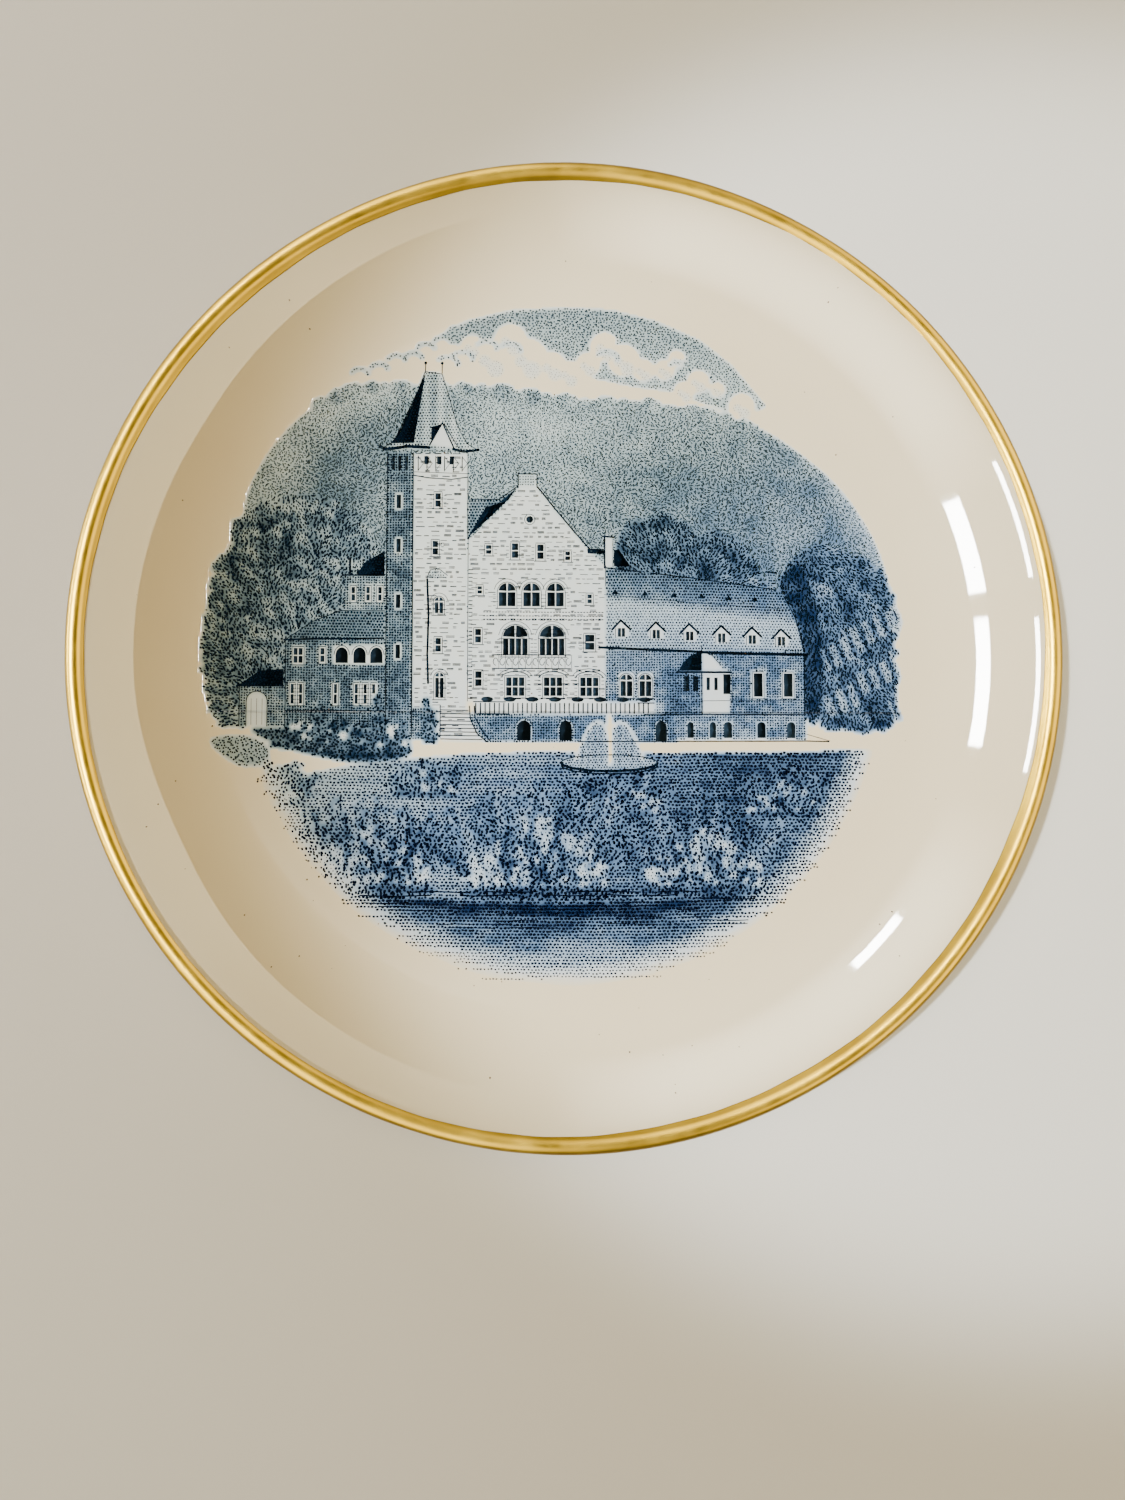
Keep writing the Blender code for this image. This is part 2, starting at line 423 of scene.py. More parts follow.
class Canvas:
    """What the engraver sees: at each point of the picture, its subject and how dark it is."""

    def __init__(self):
        self.subject = np.zeros((GROUND_ROWS, GROUND_COLUMNS), np.int8)
        self.tone = np.zeros((GROUND_ROWS, GROUND_COLUMNS), np.float32)

    def window(self, low_x, low_y, high_x, high_y):
        """The cells within a box, with their coordinates."""
        c0 = max(int((low_x - LEFT) / CELL) - 1, 0)
        c1 = min(int((high_x - LEFT) / CELL) + 2, GROUND_COLUMNS)
        r0 = max(int((low_y - BOTTOM) / CELL) - 1, 0)
        r1 = min(int((high_y - BOTTOM) / CELL) + 2, GROUND_ROWS)
        cells = (slice(r0, r1), slice(c0, c1))
        x, y = np.meshgrid(LEFT + (np.arange(c0, c1) + 0.5) * CELL, BOTTOM + (np.arange(r0, r1) + 0.5) * CELL)
        return cells, x, y

    def put(self, cells, inside, x, y, subject, tone):
        value = tone(x, y) if callable(tone) else tone
        if subject is not None:
            self.subject[cells] = np.where(inside, subject, self.subject[cells])
        self.tone[cells] = np.where(inside, value, self.tone[cells])

    def fill(self, outline, subject, tone):
        """Fills a closed outline; the tone is a number or a function of x and y."""
        outline = np.asarray(outline, float)
        cells, x, y = self.window(*outline.min(0), *outline.max(0))
        inside = np.zeros(x.shape, bool)
        for (x0, y0), (x1, y1) in zip(outline, np.roll(outline, -1, 0)):
            if y0 == y1:
                continue
            crossing = (y0 > y) != (y1 > y)
            inside ^= crossing & (x < (x1 - x0) * (y - y0) / (y1 - y0) + x0)
        self.put(cells, inside, x, y, subject, tone)

    def disc(self, x0, y0, radius, subject, tone, only=None):
        """A round dab; with only, it stays on that subject."""
        cells, x, y = self.window(x0 - radius, y0 - radius, x0 + radius, y0 + radius)
        inside = (x - x0) ** 2 + (y - y0) ** 2 < radius**2
        if only is not None:
            inside &= self.subject[cells] == only
        self.put(cells, inside, x, y, subject, tone)

    def stroke(self, start, end, width, subject, tone):
        """A straight band of this width."""
        start, end = np.array(start, float), np.array(end, float)
        low, high = np.minimum(start, end) - width, np.maximum(start, end) + width
        cells, x, y = self.window(*low, *high)
        along = end - start
        share = ((x - start[0]) * along[0] + (y - start[1]) * along[1]) / max(along @ along, 1e-9)
        share = np.clip(share, 0, 1)
        away = np.hypot(x - start[0] - share * along[0], y - start[1] - share * along[1])
        self.put(cells, away < width / 2, x, y, subject, tone)

    def at(self, x, y):
        """Subject and tone at points."""
        column = np.clip(((np.asarray(x) - LEFT) / CELL).astype(int), 0, GROUND_COLUMNS - 1)
        row = np.clip(((np.asarray(y) - BOTTOM) / CELL).astype(int), 0, GROUND_ROWS - 1)
        return self.subject[row, column], self.tone[row, column]


canvas = Canvas()
LINES = {}
PANES = {}


# ---------------------------------------------------------------------------------- ink marks


# The share of the full tone that the marks cover, and the faintest tone that gets a mark.
INK_COVER = 0.76
FAINTEST = 0.05
PRINT_RADIUS = 75.5


def stipple(subject, pitch, seed, jitter, row_ratio=0.87, stretch=1.0, flow=0.0, aligned=False):
    """Dots in rows over one subject, as large as the tone asks. Returns x, y, length, width, turn."""
    rng = np.random.default_rng(seed)
    spacing = pitch * row_ratio
    rows = np.arange(BOTTOM, TOP, spacing)
    columns = np.arange(LEFT, RIGHT, pitch)
    x, y = np.meshgrid(columns, rows)
    if not aligned:
        x = x + pitch / 2 * (np.arange(len(rows)) % 2)[:, None]
    sway = 0.35 * np.sin(x / 17.0 + y / 29.0)
    x = (x + rng.normal(0, jitter * pitch, x.shape)).ravel()
    y = (y + sway + rng.normal(0, jitter * pitch * 0.8, y.shape)).ravel()
    what, tone = canvas.at(x, y)
    tone = INK_COVER * tone * rng.uniform(0.72, 1.25, len(x))
    kept = (what == subject) & (tone > FAINTEST) & (np.hypot(x, y) < PRINT_RADIUS)
    x, y, tone = x[kept], y[kept], np.minimum(tone[kept], 1.0)
    width = np.sqrt(tone * pitch * spacing / (math.pi * stretch))
    turn = flow(x, y) if callable(flow) else np.full(len(x), flow)
    turn = turn + rng.normal(0, 0.25, len(x))
    return np.column_stack([x, y, width * stretch, width, turn])


def line(group, points, width):
    """An engraved line through points, as short straight cuts of the same width."""
    points = np.asarray(points, float)
    for start, end in zip(points[:-1], points[1:]):
        middle, along = (start + end) / 2, end - start
        length = math.hypot(*along)
        turn = math.atan2(along[1], along[0])
        LINES.setdefault(group, []).append((*middle, length / 2 + width * 0.35, width / 2, turn))


def pane(group, points):
    """A solid convex patch of ink."""
    points = np.asarray(points, float)
    area = np.cross(points[1] - points[0], points[2] - points[0])
    PANES.setdefault(group, []).append(points if area > 0 else points[::-1])


def arc(x, y, radius_x, radius_y, first, last, steps=8):
    turns = np.radians(np.linspace(first, last, steps + 1))
    return np.column_stack([x + radius_x * np.cos(turns), y + radius_y * np.sin(turns)])


def arched_outline(x, spring, half, rise, foot, steps=8):
    """A round-headed opening about x: its arch springs here and its sides end at the foot."""
    return np.vstack([arc(x, spring, half, rise, 0, 180, steps), [(x - half, foot), (x + half, foot)]])


def box_outline(x0, y0, x1, y1):
    return [(x0, y0), (x1, y0), (x1, y1), (x0, y1)]


# How far a mark stands above the glaze and reaches into it, in mm. Marks that cross differ in height.
INK_LIFT = 0.014
INK_SINK = 0.05
HEIGHT_STEP = 0.0004
HEIGHT_STEPS = 16


def ink_mesh(name, dots, panes):
    """One mesh of closed marks: each has a flat top just proud of the glaze and a point sunk in it."""
    x, y, length, width, turn = dots.T
    bevel = width / 2
    side = width * math.sqrt(3) / 2
    along = np.stack([length, length - bevel, bevel - length, -length, bevel - length, length - bevel], 1)
    across = np.stack([0 * side, side, side, 0 * side, -side, -side], 1)
    cosine, sine = np.cos(turn)[:, None], np.sin(turn)[:, None]
    corner_x = x[:, None] + along * cosine - across * sine
    corner_y = y[:, None] + along * sine + across * cosine
    lift = INK_LIFT + HEIGHT_STEP * (np.arange(len(x)) % HEIGHT_STEPS)
    corner_z = surface_height(corner_x, corner_y) + lift[:, None]
    tops = np.stack([corner_x, corner_y, corner_z], 2)
    tips = np.stack([x, y, surface_height(x, y) - INK_SINK], 1)[:, None]
    points = [np.concatenate([tops, tips], 1).reshape(-1, 3)]
    first = 7 * np.arange(len(x))[:, None]
    sides = np.array([((k + 1) % 6, k, 6) for k in range(6)]).reshape(1, -1)
    loops = [np.concatenate([first + np.arange(6), first + sides], 1).ravel()]
    totals = [np.tile([6, 3, 3, 3, 3, 3, 3], len(x))]
    start = 7 * len(x)
    for index, outline in enumerate(panes):
        count = len(outline)
        middle = outline.mean(0)
        rise = INK_LIFT + HEIGHT_STEP * (index % HEIGHT_STEPS)
        top = surface_height(outline[:, 0], outline[:, 1]) + rise
        tip = surface_height(*middle) - INK_SINK
        points.append(np.vstack([np.column_stack([outline, top]), [(*middle, tip)]]))
        edge = [corner for k in range(count) for corner in ((k + 1) % count, k, count)]
        loops.append(start + np.concatenate([np.arange(count), edge]))
        totals.append(np.array([count] + [3] * count))
        start += count + 1
    points, loops, totals = np.vstack(points) * MM, np.concatenate(loops), np.concatenate(totals)
    mesh = bpy.data.meshes.new(name)
    mesh.vertices.add(len(points))
    mesh.vertices.foreach_set("co", points.ravel().astype(np.float32))
    mesh.loops.add(len(loops))
    mesh.loops.foreach_set("vertex_index", loops.astype(np.int32))
    mesh.polygons.add(len(totals))
    starts = np.concatenate([[0], np.cumsum(totals)[:-1]])
    mesh.polygons.foreach_set("loop_start", starts.astype(np.int32))
    mesh.polygons.foreach_set("loop_total", totals.astype(np.int32))
    shades = np.random.default_rng(len(x)).integers(0, 3, len(x) + len(panes))
    sizes = [7] * len(x) + [len(outline) + 1 for outline in panes]
    mesh.polygons.foreach_set("material_index", np.repeat(shades, sizes).astype(np.int32))
    mesh.update(calc_edges=True)
    mesh.validate()
    return mesh


# The ground sheet: cells between its points, its faces above and below the glaze in mm, and its limits.
GROUND_STEP = 3
GROUND_LIFT = 0.006
GROUND_SINK = 0.03
GROUND_RADIUS = 77.0
FAINTEST_BLEED = 0.01
SUNKEN_BLEED = 0.04
# How many cells the ink bleeds, and the height in the picture that parts the far and the near sheet.
BLEED_REACH = 3
SHEETS_MEET = -12.0
STONE_VEIL = 0.15


def blurred(values, reach):
    """The mean over a square of this many cells to each side."""
    for axis in (0, 1):
        total = np.zeros_like(values)
        for shift in range(-reach, reach + 1):
            total += np.roll(values, shift, axis)
        values = total / (2 * reach + 1)
    return values


def bleed_maps():
    """How strongly the ink has bled into the glaze at each cell, and how blue it is there."""
    x, y = cell_centres()
    stone = np.isin(canvas.subject, (WALL, STONE))
    bleed = np.where(stone, np.maximum(canvas.tone, STONE_VEIL), canvas.tone)
    bleed = np.where(canvas.subject == PAPER, 0.0, bleed)
    foreground = np.isin(canvas.subject, FOREGROUND)
    bleed *= np.where(foreground, np.clip((vignette_reach(x, y) - 0.8) / 7.0, 0.0, 1.0), 1.0)
    bleed *= 0.9 + 0.2 * value_noise(x, y, 2.0, 12)
    cobalt = np.clip(0.6 - y / 40.0 + x / 60.0, 0.0, 1.0)
    return blurred(bleed.astype(np.float32), BLEED_REACH), cobalt.astype(np.float32)


def ground_piece(name, low_y, high_y, bleed, cobalt):
    """A thin closed sheet of tinted glaze under part of the print, on a square grid."""
    x = LEFT + (np.arange(0, GROUND_COLUMNS, GROUND_STEP) + 0.5) * CELL
    y = BOTTOM + (np.arange(0, GROUND_ROWS, GROUND_STEP) + 0.5) * CELL
    x, y = np.meshgrid(x, y)
    bleed, cobalt = bleed[::GROUND_STEP, ::GROUND_STEP], cobalt[::GROUND_STEP, ::GROUND_STEP]
    inked = (bleed > FAINTEST_BLEED) & (y >= low_y) & (y < high_y) & (np.hypot(x, y) < GROUND_RADIUS)
    cells = inked[:-1, :-1] | inked[1:, :-1] | inked[:-1, 1:] | inked[1:, 1:]
    number = np.arange(x.size).reshape(x.shape)
    corners = np.stack([number[:-1, :-1], number[:-1, 1:], number[1:, 1:], number[1:, :-1]], 2)
    walls = []
    for edge, step in enumerate(((-1, 0), (0, 1), (1, 0), (0, -1))):
        beyond = np.roll(cells, (-step[0], -step[1]), (0, 1))
        ends = corners[cells & ~beyond][:, [edge, (edge + 1) % 4]]
        walls.append(np.column_stack([ends[:, ::-1], ends + x.size]))
    top = corners[cells]
    faces = np.vstack([top, top[:, ::-1] + x.size, *walls])
    used, faces = np.unique(faces, return_inverse=True)
    faces = faces.reshape(-1, 4)
    x, y, bleed, cobalt = (np.tile(values.ravel(), 2)[used] for values in (x, y, bleed, cobalt))
    lift = GROUND_LIFT - 3 * GROUND_LIFT * np.clip(1.0 - bleed / SUNKEN_BLEED, 0.0, 1.0)
    lift = np.where(used < number.size, lift, -GROUND_SINK)
    points = np.column_stack([x, y, surface_height(x, y) + lift])
    mesh = bpy.data.meshes.new(name)
    mesh.from_pydata((points * MM).tolist(), [], faces.tolist())
    mesh.shade_smooth()
    for key, values in (("bleed", bleed), ("cobalt", cobalt)):
        mesh.attributes.new(key, "FLOAT", "POINT").data.foreach_set("value", values.astype(np.float32))
    return mesh


def print_ground():
    """The tinted ground of the print, in a far and a near sheet."""
    bleed, cobalt = bleed_maps()
    material = ground_material()
    sheets = (("print_ground_far", SHEETS_MEET, TOP), ("print_ground_near", BOTTOM, SHEETS_MEET))
    for name, low_y, high_y in sheets:
        mesh = ground_piece(name, low_y, high_y, bleed, cobalt)
        finish_object(name, mesh, [material], "transfer_picture")


def print_piece(name, dots, inks, group=None):
    """One named part of the print: stippled dots with the lines and panes of its group."""
    drawn = [dots] if dots is not None else []
    if LINES.get(group):
        drawn.append(np.array(LINES[group]))
    panes = PANES.get(group, [])
    mesh = ink_mesh(name, np.vstack(drawn) if drawn else np.zeros((0, 5)), panes)
    return finish_object(name, mesh, inks, "transfer_picture")


# --------------------------------------------------------------------------- sky, hill and trees


def draw_sky():
    """A low arc of stippled sky with heaped clouds left white in it."""
    arch = [
        (-27, 66), (-21, 69.3), (-12, 71.6), (-1, 72.4), (9, 72), (18, 69.8), (27, 66), (34, 60.5),
        (41, 52),
    ]
    under = [(36, 50), (30, 52), (22, 55), (14, 56), (4, 58), (-6, 60), (-14, 62), (-22, 64)]
    canvas.fill(arch + under, SKY, lambda x, y: 0.34 + 0.14 * np.clip((y - 57) / 14, 0, 1))
    clouds = [
        (-16, 61.5, 4.4), (-12, 65.5, 3.6), (-8.5, 61.5, 4.6), (-3.5, 60, 3.4), (-20, 64, 2.6),
        (4, 60.5, 2.8), (7.5, 64.3, 3.3), (11.5, 61.5, 3.6), (15.5, 59.5, 2.6), (0, 58.5, 3.0),
        (20, 59.6, 2.4), (22.5, 62.0, 2.0), (27, 57.2, 2.6), (31, 55.5, 1.8), (36, 52, 3.0),
        (24, 55, 2.4),
    ]
    for x, y, radius in clouds:
        canvas.disc(x, y, radius, PAPER, 0.0)
    for x, y, radius in clouds:
        shade = [(x + radius * 0.2, y - radius * 0.5, 0.40), (x - radius * 0.3, y - radius * 0.1, 0.28)]
        for shade_x, shade_y, share in shade:
            canvas.disc(shade_x, shade_y, radius * share, SKY, 0.10)
    puffs = [
        (-43, 57.5), (-39, 58.6), (-35.5, 60.5), (-32, 61), (-29.5, 63), (-26, 64.4), (-23, 66.6),
        (-20, 66),
    ]
    for x, y in puffs:
        for turn in np.radians(np.arange(20, 170, 22)):
            canvas.disc(x + 1.9 * math.cos(turn), y + 1.5 * math.sin(turn), 0.38, SKY, 0.42)
    for x, y in [(-22, 61.5), (-17, 63.8), (-12, 63.4), (-25, 60.4), (8, 62), (12, 64.6), (23, 60)]:
        for turn in np.radians(np.arange(-10, 150, 26)):
            canvas.disc(x + 2.2 * math.cos(turn), y + 1.3 * math.sin(turn), 0.36, SKY, 0.40)


def draw_hill():
    """The wooded hill behind the house, softly lit along its crest."""
    crest = [
        (-66, 30), (-62.9, 38.5), (-58, 45.5), (-52, 51), (-45, 54.8), (-38, 55.8), (-30, 55.2),
        (-22, 55.4), (-14, 55.2), (-6, 54), (2, 53), (10, 53), (18, 52.4), (27, 51), (35, 49), (42, 46),
        (49, 41.2), (55, 36), (60, 29.5), (64, 22), (66.5, 13), (67, 4),
    ]
    outline = list(smooth_outline(crest + [(40, -5), (0, -5), (-40, -5), (-63, 8), (-66, 18)]))

    def tone(x, y):
        lit = value_noise(x, y, 9.0, 3) * 0.5 + value_noise(x, y, 3.1, 4) * 0.5
        shaded = np.clip(x / 30, 0, 1) * np.clip((50 - y) / 14, 0, 1)
        glow = np.exp(-(((x + 6) / 13) ** 2) - ((y - 48) / 7) ** 2)
        side = np.clip((np.hypot(x * 1.02, y) - 62) / 8, 0, 1)
        under_tower = np.exp(-(((x + 31) / 7) ** 2) - ((y - 46) / 9) ** 2)
        dim = 0.22 * np.clip((-x - 36) / 16, 0, 1)
        base = 0.52 + 0.22 * (lit - 0.5) + 0.12 * shaded + dim
        return np.clip(base - 0.16 * glow - 0.34 * side + 0.12 * under_tower, 0.1, 0.9)

    canvas.fill(outline, HILL, tone)
    rng = np.random.default_rng(11)
    for x, y in outline[: (len(crest) - 2) * PER_SPAN]:
        if rng.random() < 0.55 and -52 < x < 44:
            radius = rng.uniform(0.7, 1.9)
            canvas.disc(x, y - 0.4 * radius, radius, HILL, float(rng.uniform(0.36, 0.60)))


# Where the light on the leaves comes from: up and to the right.
SUN = (0.6, 0.8)


def leaf_edge(outline, tone, size, seed):
    """Leaf clusters that break up the edge of a crown."""
    rng = np.random.default_rng(seed)
    for x, y in outline:
        if rng.random() > 0.8:
            continue
        for _ in range(3):
            radius = size * rng.uniform(0.35, 0.8)
            turn = rng.uniform(0, math.tau)
            reach = size * rng.uniform(0.1, 0.9)
            canvas.disc(x + reach * math.cos(turn), y + reach * math.sin(turn), radius, TREES, tone)


def leaf_clumps(outline, dark, light, size, count, seed):
    """Rounded masses of leaves, light on the side of the sun and dark beneath."""
    rng = np.random.default_rng(seed)
    outline = np.asarray(outline)
    low, high = outline.min(0), outline.max(0)
    for _ in range(count):
        x0, y0 = rng.uniform(low, high)
        radius = size * rng.uniform(0.6, 1.4)
        gain = rng.uniform(0.5, 1.0) * (dark - light)

        def shade(x, y, x0=x0, y0=y0, radius=radius, gain=gain):
            towards = ((x - x0) * SUN[0] + (y - y0) * SUN[1]) / radius
            return np.clip(dark - gain * (0.45 + 0.65 * towards), 0.08, 0.95)

        canvas.disc(x0, y0, radius, None, shade, only=TREES)


def draw_tree(outline, dark, light, size, count, seed, edge=0.9):
    crown = smooth_outline(outline)
    canvas.fill(crown, TREES, dark)
    leaf_edge(crown, dark * 0.85, edge, seed)
    leaf_clumps(crown, dark, light, size, count, seed + 1)


def draw_trees():
    behind = [
        (11, 19), (10.6, 23), (13, 27), (17, 27.6), (20, 28.6), (24, 27), (26.5, 24), (30, 25.3),
        (34, 24),
    ]
    draw_tree(behind + [(37, 21), (39, 17), (39, 12), (12, 14)], 0.94, 0.60, 2.2, 60, 21, 0.7)
    left = [
        (-56, 32), (-61, 31), (-64.5, 28.5), (-67.5, 26.5), (-68, 21.5), (-71, 18.5), (-72.2, 12),
        (-73.4, 5), (-73.8, -1), (-72.5, -8), (-71.5, -13), (-66, -14), (-56, -12), (-42, -8), (-39, 6),
        (-38.4, 16), (-40.5, 23.5), (-44, 28), (-49, 31),
    ]
    draw_tree(left, 0.84, 0.40, 3.1, 190, 31)
    hollows = [(-66, -2, 6), (-70, 4, 4), (-68, 10, 3.5), (-66, 18, 4), (-58, 17, 4.5), (-60, 24, 4)]
    for x, y, radius in hollows:
        canvas.disc(x, y, radius, None, lambda a, b: 0.90 + 0.1 * np.sin(a * 3 + b), only=TREES)
    leaf_clumps(left, 0.88, 0.34, 1.5, 330, 33)
    right = [
        (44, 15), (46, 18.5), (50, 21.8), (54, 22.3), (58, 20.6), (62, 19), (65, 15.5), (66.4, 11),
        (67, 5), (67.2, -2), (66.8, -8), (65.6, -14.6), (58, -15), (52, -14), (49, -12), (48.4, -4),
        (47.4, 5), (45.4, 11),
    ]
    draw_tree(right, 0.93, 0.56, 2.6, 190, 41)
    shadow = [(43.8, 15), (47, 19), (50, 14), (52, 6), (52.5, -4), (51, -12), (48.6, -12), (48.2, 0), (46, 9)]
    canvas.fill(smooth_outline(shadow), TREES, 0.98)
    for step in range(46):
        x = 52 + (step * 7.3) % 15
        y = 10 - (step * 5.1) % 20
        canvas.stroke((x, y), (x + 1.6, y - 4.2), 0.55, TREES, 0.40 if step % 3 else 0.95)


# ----------------------------------------------------------------------------------- the house


# Sunlit stone: the rise of a course, the step to its second cut, and how many stones show one.
COURSE_PITCH = 0.95
COURSE_STEP = 0.26
COURSE_DENSITY = 0.78
# Stone in shadow: the height of a course and the length of a block.
COURSE = 1.15
BLOCK = 1.9


def masonry(x, y):
    """Tone of coursed stone in shadow: each block is a little lighter or darker."""
    course = np.floor(y / COURSE)
    block = np.floor((x + 0.9 * (course % 2)) / BLOCK)
    shade = np.sin(course * 12.9898 + block * 78.233) * 43758.5453
    return 0.50 + 0.22 * (shade - np.floor(shade))


def stonework(x0, y0, x1, y1, darker):
    """A wall of coursed stone in shadow."""
    canvas.fill(box_outline(x0, y0, x1, y1), SHADE, lambda x, y: masonry(x, y) + darker)


def bare_stone(x0, y0, x1, y1):
    """Pale dressed stone, with no marks until lines are cut on it."""
    canvas.fill(box_outline(x0, y0, x1, y1), STONE, 0.0)


def glass(x0, y0, x1, y1):
    pane("windows", box_outline(x0, y0, x1, y1))


def wall_cut(width, *points):
    line("walls", points, width)


def roof_cut(width, *points):
    line("roofs", points, width)


def rubble_wall(low_x, low_y, high_x, high_y, seed):
    """A sunlit stone wall: short broken courses with bare stone between."""
    canvas.fill(box_outline(low_x, low_y, high_x, high_y), WALL, 0.0)
    rng = np.random.default_rng(seed)
    for y in np.arange(low_y + 0.5, high_y, COURSE_PITCH):
        x = low_x + rng.uniform(0.2, 0.9)
        while x < high_x - 0.6:
            length = rng.uniform(0.5, 1.7)
            if rng.random() < COURSE_DENSITY:
                for layer in range(rng.integers(1, 3)):
                    level = y + COURSE_STEP * layer
                    what, _ = canvas.at(x + length / 2, level)
                    if what == WALL and x + length < high_x - 0.2:
                        wall_cut(rng.uniform(0.14, 0.26), (x, level), (x + length, level))
            x += length + rng.uniform(0.3, 1.3)


def window(x, y, width, height, arched=False, columns=2, rows=2):
    """A window: stone surround, frame line, and dark panes with the glazing bars left bare."""
    half = width / 2
    border = 0.42
    spring = y + height - (half if arched else 0.0)
    bare_stone(x - half - border, y - border, x + half + border, y + height + border)
    side = [(x - half - 0.2, y - 0.2), (x - half - 0.2, spring)]
    line("windows", side, 0.16)
    line("windows", [(2 * x - px, py) for px, py in side], 0.16)
    if arched:
        line("windows", arc(x, spring, half + 0.2, half + 0.2, 180, 0), 0.18)
        line("windows", arc(x, spring, half + 0.85, half + 0.85, 170, 10), 0.14)
    else:
        line("windows", [(x - half - 0.2, y + height + 0.2), (x + half + 0.2, y + height + 0.2)], 0.2)
    line("windows", [(x - half - 0.5, y - 0.35), (x + half + 0.5, y - 0.35)], 0.22)
    bar = 0.2
    step_x, step_y = width / columns, (spring - y) / rows
    for column in range(columns):
        for row in range(rows):
            x0 = x - half + column * step_x + bar / 2
            y0 = y + row * step_y + bar / 2
            glass(x0, y0, x0 + step_x - bar, y0 + step_y - bar)
    if arched:
        for first, last in ((92, 176), (4, 88)):
            middle, base = x + (0.1 if last < 90 else -0.1), spring + 0.12
            curve = arc(middle, base, half - 0.15, half - 0.15, first, last, 5)
            pane("windows", np.vstack([curve, [(middle, base)]]))
    for level in np.arange(y + 0.2, spring, 0.75):
        for direction in (-1, 1):
            edge = x + direction * (half + 0.55)
            line("windows", [(edge, level), (edge + direction * 0.5, level)], 0.16)


def draw_tower():
    """A square stair tower with a steep swept roof."""
    left, corner, right, foot, eaves = -37.2, -31.9, -20.7, -17.0, 41.6
    stonework(left, foot, corner, eaves, 0.15)
    rubble_wall(corner, foot, right, eaves, 51)
    canvas.fill(box_outline(corner, 36.8, right, eaves), WALL, 0.0)
    wall_cut(0.22, (left, foot), (left, eaves))
    wall_cut(0.26, (corner, foot), (corner, eaves))
    wall_cut(0.18, (right, 24), (right, eaves))
    wall_cut(0.26, (corner, 36.9), (-29, 36.4), (-24, 36.1), (right, 36.6))
    wall_cut(0.14, (corner, 37.6), (right, 37.3))
    for step in range(6):
        x = corner + 1.0 + 1.8 * step
        wall_cut(0.22, (x, 37.8), (x, 40.9))
        wall_cut(0.13, (x, 37.9), (x + 1.1, 39.4), (x, 40.8))
    for x in (-29.2, -26.6, -24.0):
        glass(x - 0.45, 39.2, x + 0.45, 40.9)
    for x in (-36, -34.7, -33.3):
        glass(x - 0.3, 38.0, x + 0.3, 40.9)
    roof = [
        (-38.4, 42.4), (-36.3, 43.6), (-34.6, 46.0), (-33.0, 49.2), (-31.3, 53.8), (-29.6, 58.6),
        (-26.1, 58.1), (-25.0, 54.6), (-23.6, 49.6), (-22.3, 46.0), (-20.7, 43.4), (-18.6, 42.2),
    ]
    canvas.fill(roof, ROOF, lambda x, y: 0.50 + 0.10 * np.sin(x * 2.2) - 0.08 * (x > -27))
    line("roofs", roof, 0.20)
    dark_side = [
        (-29.5, 58.2), (-31.2, 53.6), (-32.9, 49.0), (-34.5, 45.8), (-36.2, 43.5), (-31.8, 43.6),
        (-30.9, 50.0),
    ]
    for step in range(1, len(dark_side) - 1):
        pane("roofs", [dark_side[0], dark_side[step], dark_side[step + 1]])
    roof_cut(0.75, (-38.8, 42.9), (-37.6, 42.2), (-33, 42.9), (-28.6, 42.7))
    roof_cut(0.65, (-23.8, 42.4), (-21.5, 41.9), (-18.5, 42.3))
    gable = [(-28.6, 43.2), (-26.0, 47.9), (-23.6, 42.6)]
    canvas.fill(gable, STONE, 0.0)
    line("roofs", gable, 0.34)
    pane("roofs", [(-28.3, 43.6), (-28.2, 47.0), (-26.3, 47.6)])
    roof_cut(0.22, (-25.6, 47.6), (-22.6, 42.6))
    for x in (-29.5, -26.1):
        roof_cut(0.24, (x, 58.3), (x, 60.2))
        pane("roofs", arc(x, 60.4, 0.34, 0.34, 0, 300, 5))
    for x, y in ((-26.8, 30.3), (-27.3, 20.4), (-26.6, 0.4)):
        window(x, y, 1.3, 3.0, columns=1)
    window(-26.5, 8.3, 1.9, 3.4, arched=True, rows=1)
    for y in (30.0, 20.9, 9.4, -0.9):
        bare_stone(-35.6, y - 0.3, -34.0, y + 3.1)
        glass(-35.25, y, -34.35, y + 2.8)
    wall_cut(0.20, (-28.9, 15.8), (-28.3, 17.3), (-26.6, 17.6), (-24.8, 16.2))
    canvas.fill([(-29, 15.4), (-28.3, 17.2), (-26.6, 17.4), (-24.8, 15.6)], SHADE, 0.35)
    wall_cut(0.5, (-28.9, 15.4), (-28.6, 8), (-28.8, 0), (-28.6, -6))
    window(-26.3, -9.0, 1.9, 5.2, arched=True, rows=1)


